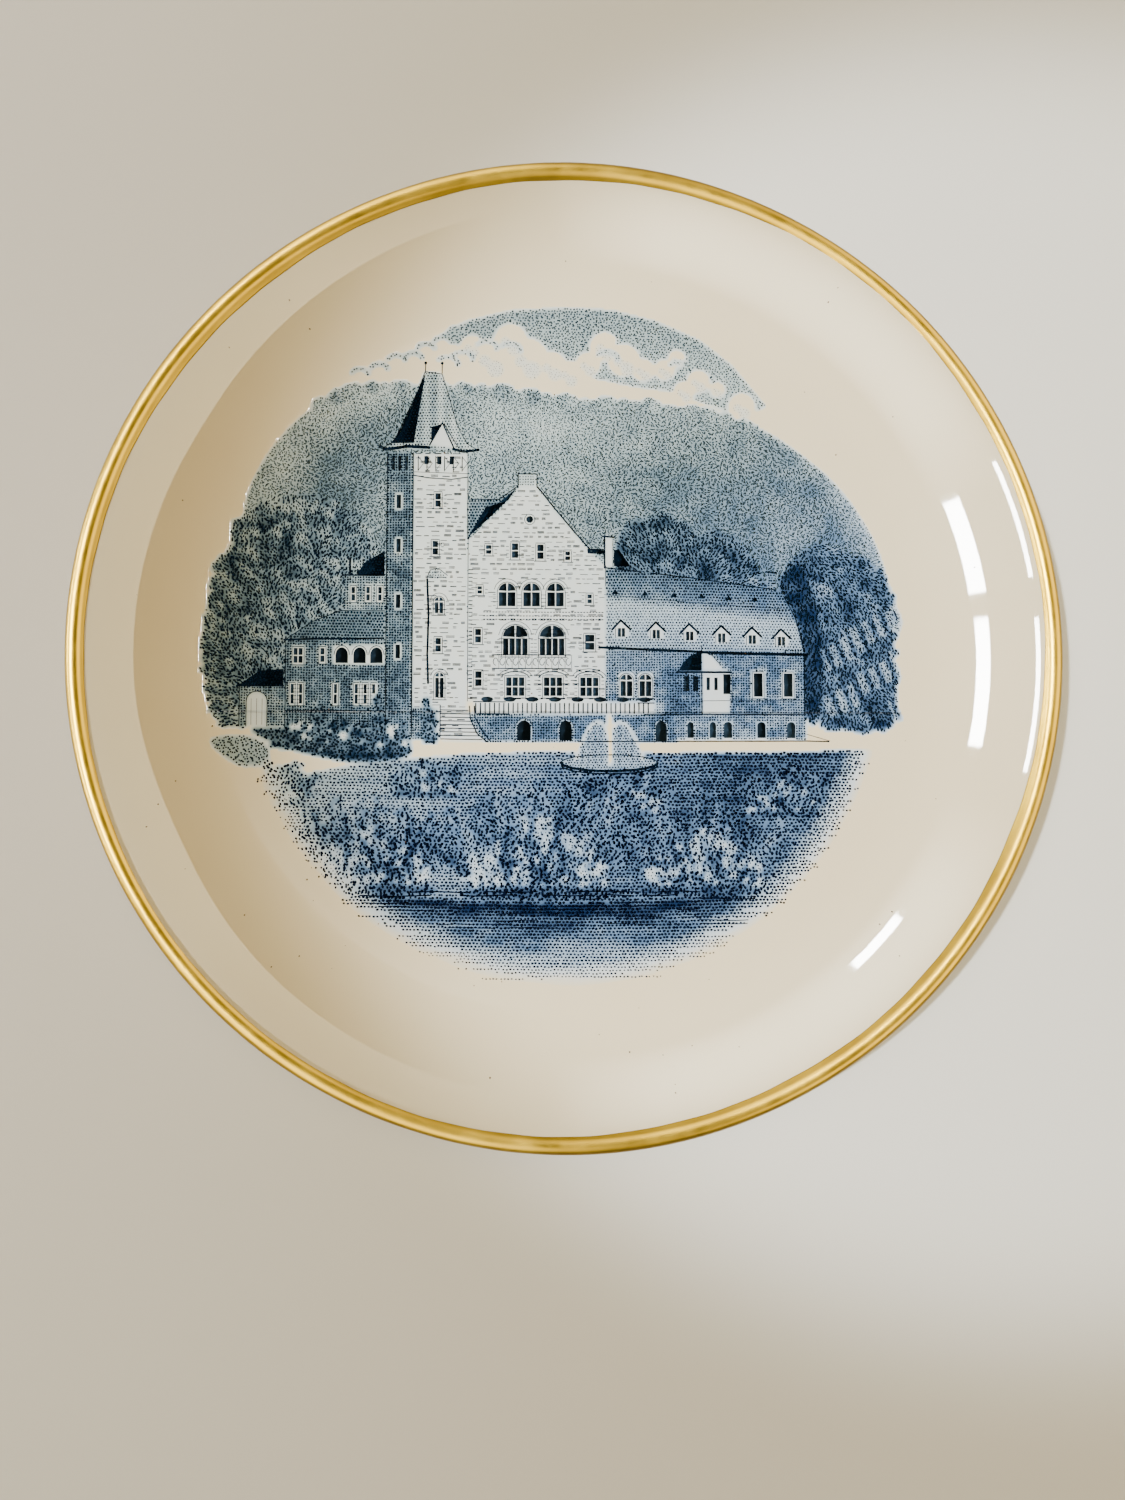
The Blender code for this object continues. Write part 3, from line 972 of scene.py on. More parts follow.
def draw_hall():
    """The gabled hall beside the tower, with arcades and a balcony."""
    left, right, floor = -20.6, 7.6, -9.6
    gable = [
        (left, floor), (left, 23.6), (-16, 28.2), (-12, 32.2), (-10.4, 34.6), (-10.4, 37.3),
        (-6.5, 37.3), (-6.3, 34.4), (-3, 30.2), (1, 25.4), (5.2, 20.6), (right, 18.4), (right, floor),
    ]
    canvas.fill(gable, WALL, 0.0)
    roof = [(-20.7, 23.8), (-20.7, 32.0), (-14.2, 32.0), (-10.6, 34.8), (-12.2, 32.0), (-16.2, 28.2)]
    canvas.fill(roof, ROOF, 0.75)
    pane("roofs", [(-20.7, 24.0), (-17.0, 30.4), (-12.6, 31.8), (-16.2, 28.2)])
    pane("roofs", [(-17.0, 30.6), (-14.2, 31.4), (-10.8, 34.4), (-12.4, 31.8)])
    roof_cut(0.24, (-20.7, 32.0), (-14.3, 32.0), (-10.5, 34.8))
    roof_cut(0.32, (-10.4, 34.6), (-10.4, 37.4), (-6.5, 37.4), (-6.5, 34.6))
    canvas.fill(box_outline(-10.2, 34.9, -6.7, 37.2), SHADE, 0.36)
    roof_cut(0.36, (-6.3, 34.6), (-3, 30.4), (1, 25.6), (4.4, 21.7), (7.4, 21.2))
    roof_cut(0.16, (-5.6, 34.4), (-2.4, 30.6), (1.7, 25.8), (5.0, 22.0))
    rng = np.random.default_rng(61)
    for y in np.arange(floor + 0.5, 34, COURSE_PITCH):
        low_x = left if y < 24 else np.interp(y, [24, 32.2, 34.6], [-20.2, -12, -10.2])
        high_x = np.interp(y, [18.4, 20.6, 25.4, 30.2, 34.4], [right, 5.0, 0.8, -3.2, -6.4])
        x = low_x + rng.uniform(0.3, 1.0)
        while x < high_x - 1.2:
            length = rng.uniform(0.5, 1.6)
            if rng.random() < COURSE_DENSITY:
                for layer in range(rng.integers(1, 3)):
                    level = y + COURSE_STEP * layer
                    line("hall_courses", [(x, level), (x + length, level)], rng.uniform(0.13, 0.24))
            x += length + rng.uniform(0.3, 1.2)
    canvas.fill(arc(-8.0, 27.9, 1.2, 1.2, 0, 330, 11), STONE, 0.0)
    pane("windows", arc(-8.0, 27.9, 0.75, 0.75, 0, 320, 8))
    line("windows", arc(-8.0, 27.9, 1.1, 1.1, 0, 360, 10), 0.16)
    attic = [(-16.4, 20.6, 1.3, 2.0), (-11.0, 19.8, 1.5, 3.2), (-5.8, 19.6, 1.5, 3.2), (-0.2, 19.4, 1.2, 2.0)]
    for x, y, width, height in attic:
        window(x, y, width, height, columns=1)
    for x in (-12.6, -7.6, -2.7):
        window(x, 9.8, 3.6, 4.9, arched=True, rows=1)
    beside = [
        (-18.2, 12.4, 1.1, 1.7), (4.3, 10.5, 1.1, 2.0), (-18.5, 2.3, 1.4, 3.0), (4.3, 0.9, 2.1, 3.3),
        (-18.4, -6.6, 1.5, 3.2),
    ]
    for x, y, width, height in beside:
        window(x, y, width, height, columns=1)
    for level in (8.7, 7.9, 7.2):
        for x in np.arange(left + 3.2, right - 0.4, 0.62):
            wall_cut(0.24, (x, level), (x + 0.3, level))
    for x in (-10.9, -3.4):
        window(x, -0.2, 5.2, 6.2, arched=True, columns=4, rows=1)
        canvas.fill(arc(x, 3.1, 3.0, 3.1, 0, 180, 10), WALL, 0.25)
    draw_balcony(-15.6, 0.4, -2.9, -0.1)
    for x in (-10.9, -3.2, 4.2):
        window(x, -8.6, 3.9, 4.0, columns=3)
        line("windows", arc(x, -5.0, 2.9, 1.5, 170, 10), 0.26)
        line("windows", arc(x, -5.0, 3.6, 2.1, 165, 15), 0.16)
    wall_cut(0.16, (left, -9.6), (left, 23.6))
    wall_cut(0.2, (right, -9.6), (right, 18.4))
    for level in np.arange(-9.0, 18.0, 0.8):
        wall_cut(0.24, (left + 0.2, level), (left + 0.9, level))
    chimney = box_outline(7.4, 17.9, 9.1, 24.3)
    canvas.fill(chimney, STONE, 0.0)
    roof_cut(0.42, (7.4, 17.9), (7.4, 24.3))
    roof_cut(0.16, (9.1, 17.9), (9.1, 24.0))
    roof_cut(0.4, (7.0, 24.5), (9.5, 24.3))
    pane("roofs", [(3.8, 21.9), (3.9, 20.9), (7.2, 20.8), (7.2, 21.9)])
    pane("roofs", [(9.3, 18.3), (9.3, 21.7), (10.4, 21.7), (12.8, 18.2)])


def draw_balcony(x0, x1, y0, y1):
    """A pierced balustrade: two rails with a running scroll between."""
    bare_stone(x0, y0, x1, y1)
    for level in (y0, y1):
        wall_cut(0.26, (x0, level), (x1, level))
    for index, x in enumerate(np.arange(x0 + 0.7, x1, 1.35)):
        line("walls", arc(x, (y0 + y1) / 2, 0.5, 0.75, 90 * (index % 2), 90 * (index % 2) + 270, 6), 0.17)
        wall_cut(0.12, (x + 0.66, y0), (x + 0.66, y1))


def draw_annex():
    """The low wing and gatehouse left of the tower, all in its shade."""
    stonework(-45.8, 8.6, -37.4, 16.3, -0.02)
    for x in (-43.9, -40.9, -38.5):
        window(x, 10.8, 0.9, 3.0, columns=1)
    upper = [(-43.2, 16.2), (-41.8, 18.6), (-37.6, 21.2), (-37.6, 16.2)]
    canvas.fill(upper, ROOF, 0.8)
    pane("roofs", upper)
    roof_cut(0.34, (-46.2, 16.1), (-37.6, 16.1))
    roof_cut(0.5, (-44.6, 16.4), (-44.6, 19.6))
    stonework(-57.5, -15.3, -37.4, 3.2, 0.12)
    lower = [(-57.2, 3.0), (-52.0, 6.6), (-46.4, 8.8), (-37.5, 8.8), (-37.5, 3.2)]
    canvas.fill(lower, ROOF, 0.78)
    line("roofs", lower[:4], 0.22)
    roof_cut(0.42, (-57.8, 2.8), (-51.5, 3.0), (-37.6, 3.2))
    wall_cut(0.22, (-57.4, 2.2), (-57.4, -15.0))
    for x in (-46.1, -42.5, -39.1):
        bare_stone(x - 1.7, -2.2, x + 1.7, 1.8)
        pane("windows", arched_outline(x, -0.2, 1.25, 1.5, -1.9))
        line("windows", arc(x, -0.2, 1.55, 1.85, 0, 180, 8), 0.2)
    for x, y, width, height in ((-54.9, -2.0, 2.0, 3.2), (-50.0, -1.8, 1.0, 3.0)):
        window(x, y, width, height, columns=2 if width > 1.5 else 1)
    for x in (-56.0, -54.3, -47.3, -43.1, -41.3, -39.6):
        window(x, -10.3, 0.8, 4.2, columns=1)
    wall_cut(0.2, (-57.4, -11.6), (-38, -11.6))
    for x in np.arange(-56.8, -38.4, 0.9):
        wall_cut(0.16, (x, -12), (x, -14.6))
    stonework(-66.6, -14.8, -57.6, -6.4, 0.04)
    porch = [(-66.8, -6.5), (-62.6, -3.5), (-57.8, -3.2), (-57.8, -6.5)]
    canvas.fill(porch, ROOF, 0.82)
    pane("roofs", porch)
    roof_cut(0.36, (-67.2, -6.6), (-57.7, -6.6))
    gate = arched_outline(-63.1, -9.6, 2.1, 1.9, -14.8)
    canvas.fill(gate, STONE, 0.0)
    line("walls", gate[:9], 0.24)
    wall_cut(0.2, gate[8], gate[9])
    wall_cut(0.2, gate[0], gate[10])
    for x in (-64.2, -63.1, -62.0):
        wall_cut(0.1, (x, -14.5), (x, -9.2))
    wall_cut(0.22, (-66.6, -14.8), (-66.6, -6.6))


def draw_wing():
    """The long wing with a mansard roof, dormers and a little domed pavilion."""
    ridge = [(7.4, 18.0), (25, 16.0), (42.8, 13.6)]
    edge = [(44.4, 12.2), (46.7, 7.9), (47.8, 4.0), (48.4, 0.9)]
    roof = ridge + edge + [(27, 0.9), (7.2, 1.6)]

    def slates(x, y):
        drop = ridge[0][1] - (x - ridge[0][0]) * 0.123 - y
        upper = drop < 5.4
        return np.where(upper, 0.82 - 0.03 * drop, 0.34 + 0.012 * drop + 0.16 * (drop < 6.4))

    canvas.fill(roof, ROOF, slates)
    line("roofs", ridge, 0.3)
    canvas.fill(box_outline(40.9, 13.0, 42.5, 17.2), SHADE, 0.62)
    roof_cut(0.4, (40.6, 17.3), (42.8, 17.2))
    line("roofs", edge, 0.3)
    roof_cut(0.14, (7.3, 12.4), (25, 10.9), (44.9, 9.6))
    for index in range(6):
        x = 9.5 + 6.2 * index - 0.09 * index**2
        y = 12.9 - 0.27 * index
        pane("roofs", [(x - 0.75, y - 0.4), (x + 0.8, y - 0.4), (x + 0.1, y + 0.6)])
    for index in range(6):
        x = 10.8 + 7.3 * index - 0.14 * index**2
        y = 5.0 - 0.33 * index
        front = [(x - 1.5, y - 1.4), (x - 1.5, y + 0.6), (x, y + 2.1), (x + 1.5, y + 0.6), (x + 1.5, y - 1.4)]
        canvas.fill(front, STONE, 0.0)
        roof_cut(0.5, (x - 1.9, y + 0.2), (x - 0.1, y + 2.1), (x + 1.9, y + 0.2))
        glass(x - 0.75, y - 1.3, x - 0.08, y + 0.5)
        glass(x + 0.08, y - 1.3, x + 0.75, y + 0.5)
        roof_cut(0.16, (x - 1.2, y - 1.5), (x - 1.2, y + 0.4))
    stonework(7.6, -12.2, 48.5, 1.0, 0.04)
    canvas.fill([(7.6, 1.0), (27, 0.6), (26, -2.8), (12, -3.2), (7.6, -6)], SHADE, 0.62)
    roof_cut(0.62, (6.2, 1.5), (16, 1.1), (27.2, 0.7))
    roof_cut(0.68, (27.4, 0.6), (38, 0.3), (49.2, 0.2))
    wall_cut(0.34, (48.5, -12.2), (48.5, 0.0))
    for x in (11.8, 15.7):
        window(x, -8.6, 2.6, 4.6, arched=True, rows=1)
    for x in (38.9, 45.1):
        window(x, -8.6, 2.0, 5.0, columns=1, rows=1)
    canvas.fill(box_outline(7.6, -12.4, 19.5, -9.8), SHADE, 0.45)
    draw_pavilion()
    stonework(19.5, -17.3, 48.6, -12.2, 0.0)
    for x, width in ((24.9, 1.3), (29.5, 1.3), (32.6, 1.7), (39.5, 1.7), (45.6, 1.7)):
        canvas.fill(box_outline(x - width / 2 - 0.1, -17.2, x + width / 2 + 0.1, -13.6), STONE, 0.3)
        pane("windows", arched_outline(x, -14.4, width / 2, 0.7, -17.0, 5))
    wall_cut(0.28, (19.5, -12.2), (48.6, -12.2))
    wall_cut(0.3, (2, -17.8), (48.6, -17.6), (53.4, -17.7))
    wall_cut(0.16, (48.8, -16.2), (53.6, -17.6))


def draw_pavilion():
    left, middle, right = 22.6, 27.3, 33.4
    stonework(left - 2.8, -12.2, middle, -3.4, 0.1)
    bare_stone(middle, -12.2, right - 0.3, -3.6)
    dark = [(left, -3.2), (23.4, -1.6), (25.0, -0.1), (middle, 0.9), (middle, -3.2)]
    canvas.fill(dark, ROOF, 0.85)
    pane("roofs", dark)
    canvas.fill([(middle, 0.9), (29.6, -0.2), (31.4, -2.4), (33.2, -3.4), (middle, -3.2)], STONE, 0.0)
    roof_cut(0.2, (middle, 0.8), (29.4, 0.0), (31.2, -2.0))
    roof_cut(0.5, (left - 0.4, -3.5), (right, -3.5))
    roof_cut(0.26, (middle, 0.6), (middle, 2.0))
    for x in (24.2, 26.0):
        glass(x - 0.55, -7.4, x + 0.55, -4.3)
    for x in (28.6, 30.2):
        glass(x - 0.35, -7.2, x + 0.35, -4.6)
    glass(31.7, -8.0, 33.2, -3.9)
    wall_cut(0.2, (33.5, -9.6), (33.5, -3.7))
    wall_cut(0.3, (middle, -12.2), (middle, -3.6))
    wall_cut(0.14, (middle, -9.4), (48.4, -9.2))


def draw_terrace():
    """Balustrade, basement openings and the curved garden steps."""
    stonework(-20.6, -17.9, 22, -12.2, 0.10)
    bare_stone(-19.4, -12.3, 17.5, -9.6)
    wall_cut(0.26, (-19.4, -9.7), (17.5, -9.9))
    wall_cut(0.34, (-18.8, -12.2), (19.6, -12.3))
    for x in np.arange(-18.9, 17.2, 0.95):
        wall_cut(0.30, (x, -10.0), (x, -12.0))
    for x in np.arange(-16.6, 17, 4.6):
        pane("windows", arc(x, -9.2, 1.3, 0.55, 0, 320, 8))
    for x, width in ((-9.1, 2.8), (-0.6, 2.5), (8.6, 2.2), (18.9, 2.3)):
        arch = arched_outline(x, -15.0, width / 2, 1.5, -17.6)
        canvas.fill(arch, STONE, 0.0)
        pane("windows", arch)
        line("walls", arc(x, -15.0, width / 2 + 0.4, 1.95, 0, 180, 8), 0.16)
    steps = [(-26.2, -11.0), (-20.6, -11.0), (-19.6, -14), (-17.0, -17.8), (-25.8, -17.8)]
    canvas.fill(steps, STONE, 0.0)
    for index in range(9):
        level = -11.4 - 0.74 * index
        wall_cut(0.24, (-26.0, level), (-20.4 + 0.35 * index, level - 0.1))
    wall_cut(0.3, (-20.2, -10.6), (-20.0, -13.2), (-18.6, -16.2), (-16.6, -17.9))
    wall_cut(0.3, (-19.2, -10.6), (-19.0, -13.0), (-17.6, -15.6), (-15.8, -17.9))
    bare_stone(-27.7, -17.0, -26.1, -10.4)
    wall_cut(0.24, (-26.1, -17.0), (-26.1, -10.4))
    wall_cut(0.14, (-27.7, -17.0), (-27.7, -10.4), (-26.1, -10.4))
    stonework(-34, -17.4, -27.8, -11, 0.05)


# --------------------------------------------------------------------------------- the garden


def sprig(x, y, turn, length, tone, width, rng):
    """One leafy shoot: a stem with dabs of leaf on both sides."""
    end = (x + length * math.cos(turn), y + length * math.sin(turn))
    canvas.stroke((x, y), end, width * 0.6, SHRUBS, tone)
    for share in np.arange(0.35, 1.05, 0.22):
        base_x, base_y = x + (end[0] - x) * share, y + (end[1] - y) * share
        for side in (-1, 1):
            leaf = turn + side * rng.uniform(0.5, 0.9)
            reach = width * rng.uniform(1.2, 2.0) * (1.25 - share * 0.6)
            tip = (base_x + reach * math.cos(leaf), base_y + reach * math.sin(leaf))
            canvas.stroke((base_x, base_y), tip, width * 0.62, SHRUBS, tone)


def draw_shrub(x, y, width, height, seed, dark, lights):
    """A garden shrub: shoots fan out from the ground, dark below and catching light at the top."""
    rng = np.random.default_rng(seed)
    fan = width * height / 9.0
    for _ in range(int(16 + fan * 1.5)):
        root = x + rng.uniform(-0.36, 0.36) * width
        lean = math.pi / 2 - (root - x) / width * 1.5 + rng.normal(0, 0.28)
        length = height * rng.uniform(0.5, 1.0) * (1 - 0.55 * abs(root - x) / width)
        sprig(root, y + 0.1 * height, lean, length, dark * rng.uniform(0.7, 1.1), 0.95, rng)
    body = arc(x, y + 0.12 * height, width * 0.46, height * 0.55, 0, 180, 14)
    canvas.fill(body, SHRUBS, lambda a, b: dark * (0.92 - 0.25 * (b - y) / height))
    for _ in range(2 * lights):
        aside = rng.uniform(-0.42, 0.42)
        root = x + aside * width
        level = y + rng.uniform(0.10, 0.74 - 1.1 * abs(aside)) * height
        lean = math.pi / 2 - (root - x) / width * 1.8 + rng.normal(0, 0.45)
        sprig(root, level, lean, height * rng.uniform(0.05, 0.14), 0.20, 0.30, rng)
    for _ in range(lights // 3):
        root = x + rng.uniform(-0.36, 0.36) * width
        level = y + rng.uniform(0.1, 0.45) * height
        lean = math.pi / 2 + rng.normal(0, 0.7)
        sprig(root, level, lean, height * rng.uniform(0.15, 0.3), 0.95, 0.6, rng)
    ground = arc(x, y + 0.07 * height, width * 0.52, max(0.06 * height, 0.55), 0, 345, 23)
    canvas.fill(ground, SHRUBS, 0.88)


OVAL_LEFT, OVAL_RIGHT, OVAL_DEPTH, OVAL_MEAN = 68.5, 66.5, 68.5, 67


def vignette_reach(x, y):
    """How far a point lies inside the ragged oval that ends the foreground, in mm."""
    half_width = np.where(x < 0, OVAL_LEFT, OVAL_RIGHT)
    oval = np.hypot(x / half_width, np.minimum(y, 0.0) / OVAL_DEPTH)
    return (1.0 - oval) * OVAL_MEAN


def draw_grounds():
    """Path, lawn, flower bed and the pond that closes the picture."""
    canvas.fill([(-67, -16), (-20, -17.9), (60, -17.7), (64, -22), (-66, -30)], PAPER, 0.0)
    lawn = [
        (-66.2, -29.4), (-61, -26.6), (-56.5, -25.2), (-45, -23.0), (-33, -21.5), (-19, -20.4),
        (-5, -20.0), (20, -20.2), (45, -20.0), (64.5, -19.2), (66, -30), (64, -56), (-64, -56),
    ]

    def turf(x, y):
        drift = value_noise(x, y, 11.0, 81) - 0.5
        to_right = np.clip((x + 32) / 42, 0, 1)
        return 0.47 + 0.25 * to_right + 0.16 * drift + 0.05 * np.sin(y * 2.1 + x * 0.02)

    canvas.fill(lawn, LAWN, turf)
    pond = [
        (-58, -46.4), (-40, -48.8), (-20, -50.2), (0, -50.6), (20, -50.0), (40, -48.6), (52, -46.6),
        (50, -70), (0, -72), (-50, -70),
    ]

    def ripples(x, y):
        depth = np.clip((-y - 48) / 18, 0, 1)
        band = np.exp(-(((y + 51.0) / 2.6) ** 2)) * np.exp(-((x + 6) / 34) ** 2)
        sheen = value_noise(x * 0.22, y * 1.4, 1.6, 83) - 0.5
        side = np.abs(x - 4) / 50 * depth
        return np.clip(0.84 - 0.40 * depth + 0.24 * band + 0.34 * sheen - 0.35 * side, 0.10, 1.0)

    canvas.fill(pond, WATER, ripples)
    island = [
        (-72, -17.5), (-66, -16.8), (-62, -18), (-60.4, -20.5), (-62, -22.6), (-66, -22.8),
        (-70, -20.4),
    ]
    canvas.fill(smooth_outline(island), BED, 0.36)
    bed = [(-64, -15.4), (-57, -15.2), (-45, -15.6), (-34, -15.4), (-32.0, -18.4), (-33, -21.0), (-42, -22.2)]
    canvas.fill(smooth_outline(bed + [(-52, -20.6), (-60, -18)]), BED, 0.72)
    rng = np.random.default_rng(85)
    for _ in range(70):
        x, y = rng.uniform(-58, -33), rng.uniform(-19.6, -14.2)
        tone = 0.08 if rng.random() < 0.45 else 0.9
        canvas.disc(x, y, rng.uniform(0.3, 0.9), BED, tone)
    canvas.stroke((-60, -18.6), (-46, -20.6), 0.9, BED, 0.85)
    canvas.stroke((-46, -20.8), (-34, -20.8), 1.0, BED, 0.9)
    for x, height in ((-51.0, 7.5), (-49.8, 5.0), (-39.0, 9.0), (-37.4, 6.0), (-28.8, 8.5), (-27.4, 6.0)):
        for step in np.arange(0, height, 0.8):
            canvas.disc(x + 0.35 * math.sin(step * 2.3), -17.6 + step, 0.75, BED, 0.8 - 0.3 * (int(step) % 2))


def draw_fountain():
    """A round basin with a plume and two falling sheets of water."""
    x, y = 8.3, -22.0
    canvas.fill(arc(x, y, 9.8, 1.7, 0, 350, 35), SPRAY, 0.50)
    rim = arc(x, y - 0.1, 9.8, 1.7, 176, 364, 22)
    line("lawn_lines", rim, 0.62)
    line("lawn_lines", rim - [0, 0.55], 0.36)
    line("lawn_lines", arc(x, y, 9.8, 1.5, 10, 170, 18), 0.26)
    for side in (-1, 1):
        path = [(0.0, y - 0.2), (1.0, -14.8), (3.0, -14.0), (5.0, -16.6), (6.6, y)]
        curtain = smooth_outline([(x + side * away, level) for away, level in path])
        canvas.fill(curtain, SPRAY, lambda a, b: 0.52 + 0.16 * np.sin(a * 5.0))
        edge = curtain[PER_SPAN : 4 * PER_SPAN]
        for start, end in zip(edge[:-1], edge[1:]):
            canvas.stroke(start, end, 0.55, SPRAY, 0.0)
    canvas.stroke((x, y), (x, -12.8), 1.3, SPRAY, 0.0)
    canvas.stroke((x - 0.5, y), (x - 0.5, -17.0), 0.35, SPRAY, 0.7)


# Each shrub's foot, width, height, darkness and half its number of lit shoots. Four stand on the lawn
# and three at the bank.
SHRUB_PLACES = (
    (-59.5, -31.2, 14.0, 8.5, 0.80, 6),
    (-29.0, -29.0, 13.0, 6.6, 0.84, 5),
    (11.5, -33.4, 17.5, 8.4, 0.88, 9),
    (44.0, -33.2, 15.5, 9.8, 0.86, 9),
    (-40.5, -49.2, 27.0, 18.5, 0.86, 44),
    (-6.0, -50.0, 31.0, 22.0, 0.80, 62),
    (28.0, -49.4, 27.0, 18.0, 0.82, 46),
)


def draw_shrubs():
    for seed, (x, y, width, height, dark, lights) in enumerate(SHRUB_PLACES, 91):
        draw_shrub(x, y, width, height, seed, dark, lights)


def rule_water():
    """Long engraved lines on the still water, close and heavy under the bank."""
    rng = np.random.default_rng(99)
    for y in np.arange(-48.2, -59.0, -0.72):
        depth = (-y - 48) / 11
        x = -54 + rng.uniform(0, 6)
        while x < 46:
            length = rng.uniform(4, 16) * (1 - 0.5 * depth)
            if rng.random() < 0.78 - 0.66 * depth:
                points = [(x + length * s, y + 0.10 * math.sin(x + 5 * s)) for s in np.linspace(0, 1, 5)]
                reach = vignette_reach(np.array([points[0][0], points[-1][0]]), np.array([y, y]))
                if (reach > 1.5).all():
                    line("water_lines", points, 0.34 - 0.2 * depth)
            x += length + rng.uniform(1, 9)


def trim_lines(group, allowed):
    """Keeps only the lines that lie on these subjects of the finished picture."""
    marks = np.array(LINES[group])
    what, _ = canvas.at(marks[:, 0], marks[:, 1])
    LINES[group] = list(marks[np.isin(what, allowed)])


# About the pitch of the foreground's rows of dots, and how many rows get their own end.
RAGGED_PITCH = 0.63
RAGGED_ROWS = 400


def cut_ragged(dots, seed, roughness=3.2):
    """Ends each row of dots at its own place inside the oval, as the graver left them."""
    rng = np.random.default_rng(seed)
    rows = ((dots[:, 1] - BOTTOM) / RAGGED_PITCH).astype(int) % RAGGED_ROWS
    ends = rng.uniform(0, roughness, RAGGED_ROWS)[rows]
    inside = vignette_reach(dots[:, 0], dots[:, 1])
    return dots[inside > ends + rng.uniform(0, 1.0, len(dots))]


# How much harder each subject is pressed than it was painted, or softer below zero, and the faintest
# tone that this changes.
STRENGTH = {
    SKY: 0.05,
    HILL: 0.02,
    TREES: -0.02,
    ROOF: -0.04,
    BED: 0.12,
    LAWN: 0.07,
    SHRUBS: 0.02,
    WATER: 0.08,
}
PRESSED_FROM = 0.2


def strengthen():
    """Presses the darks of each subject harder, and lets the foreground thin out towards its oval."""
    x, y = cell_centres()
    for subject, gain in STRENGTH.items():
        chosen = (canvas.subject == subject) & (canvas.tone > PRESSED_FROM)
        canvas.tone[chosen] = np.minimum(canvas.tone[chosen] + gain, 1.0)
    foreground = np.isin(canvas.subject, FOREGROUND)
    thinning = np.clip(0.45 + vignette_reach(x, y) / 12.0, 0.0, 1.0)
    canvas.tone *= np.where(foreground, thinning, 1.0)


def compose_picture():
    """Paints the picture from the far distance to the near bank."""
    draw_sky()
    draw_hill()
    draw_trees()
    draw_annex()
    draw_wing()
    draw_hall()
    draw_tower()
    draw_terrace()
    draw_grounds()
    draw_fountain()
    draw_shrubs()
    strengthen()
    rule_water()
    trim_lines("hall_courses", (WALL,))
    for group in ("walls", "roofs", "windows"):
        if LINES.get(group):
            trim_lines(group, (PAPER, WALL, STONE, SHADE, ROOF, HILL, TREES, SKY))
    for group in ("windows", "roofs"):
        PANES[group] = [p for p in PANES[group] if canvas.at(*p.mean(0))[0] not in (BED, SPRAY, SHRUBS)]
    LINES["walls"] = LINES["walls"] + LINES.pop("hall_courses")


def leaf_flow(x, y):
    """Leaves fan out from one point for each group of trees: on the left, at the back and on the right."""
    root_x = np.where(x < -30, -54.0, np.where(x < 42, 24.0, 48.0))
    root_y = np.where(x < -30, -16.0, np.where(x < 42, 8.0, 26.0))
    return np.arctan2(y - root_y, x - root_x) + (value_noise(x, y, 2.5, 5) - 0.5) * 1.4


def hill_flow(x, y):
    return (value_noise(x, y, 1.9, 6) - 0.5) * 5.0


def shrub_flow(x, y):
    return math.pi / 2 + (value_noise(x, y, 2.2, 7) - 0.5) * 2.6


def print_pieces():
    """The print in named parts, each with its own marks and strength of ink."""
    deep = ink_materials("ink_deep", DEEP_INK, 0.35)
    blue = ink_materials("ink_blue", BLUE_INK, 0.30)
    slate = ink_materials("ink_slate", SLATE_INK, 0.22)
    panes = ink_materials("ink_glass", GLASS_INK, 0.45)
    print_piece("print_sky", stipple(SKY, 0.62, 101, jitter=0.22), slate)
    print_piece("print_hill", stipple(HILL, 0.54, 102, jitter=0.30, stretch=1.7, flow=hill_flow), slate)
    print_piece("print_trees", stipple(TREES, 0.62, 103, jitter=0.26, stretch=1.5, flow=leaf_flow), blue)
    print_piece("print_roofs", stipple(ROOF, 0.62, 104, jitter=0.07, row_ratio=0.95), blue, "roofs")
    blocks = stipple(SHADE, 0.54, 105, jitter=0.10, row_ratio=1.0, aligned=True)
    print_piece("print_walls", blocks, blue, "walls")
    print_piece("print_windows", None, panes, "windows")
    print_piece("print_bed", stipple(BED, 0.62, 106, jitter=0.3), blue)
    print_piece("print_fountain", stipple(SPRAY, 0.60, 107, jitter=0.1), blue, "lawn_lines")
    lawn = cut_ragged(stipple(LAWN, 0.74, 108, jitter=0.12, stretch=1.15), 118)
    print_piece("print_lawn", lawn, deep)
    shrubs = cut_ragged(stipple(SHRUBS, 0.74, 109, jitter=0.24, stretch=1.25, flow=shrub_flow), 119)
    print_piece("print_shrubs", shrubs, deep)
    water = cut_ragged(stipple(WATER, 0.74, 110, jitter=0.08, stretch=1.2), 120, 5.0)
    print_piece("print_water", water, deep, "water_lines")


# ------------------------------------------------------------------------------ the plate itself


def porcelain_biscuit():
    """The fired body: only its bare standing face shows."""
    inner, outer = FOOT_RADIUS - FOOT_WIDTH, FOOT_RADIUS
    foot = [
        (outer, FOOT_BEVEL),
        (outer - 0.2 * FOOT_BEVEL, 0.3 * FOOT_BEVEL),
        (outer - FOOT_BEVEL, 0.0),
        (inner + FOOT_BEVEL, 0.0),
        (inner + 0.2 * FOOT_BEVEL, 0.3 * FOOT_BEVEL),
        (inner, FOOT_BEVEL),
    ]
    outline = np.vstack([top_line(0.0), lip_line(0.0), outer_line(0.0, 0.0), foot, recess_line(0.0, 0.0)])
    mesh = lathe_mesh("porcelain_biscuit", outline)
    return finish_object("porcelain_biscuit", mesh, [biscuit_material()], "porcelain_body")


def glaze_coat():
    """Glaze over the top, the lip and the outside, thinning out above the bare foot."""
    shown = np.vstack([top_line(SURFACE), lip_line(SURFACE), outer_line(SURFACE, 2 * SKIN)])
    hidden = np.vstack([top_line(SKIN), lip_line(SKIN), outer_line(SKIN, SKIN)])
    mesh = lathe_mesh("glaze_coat_clear", np.vstack([shown, hidden[::-2]]))
    return finish_object("glaze_coat_clear", mesh, [glaze_material()], "glaze_coat")


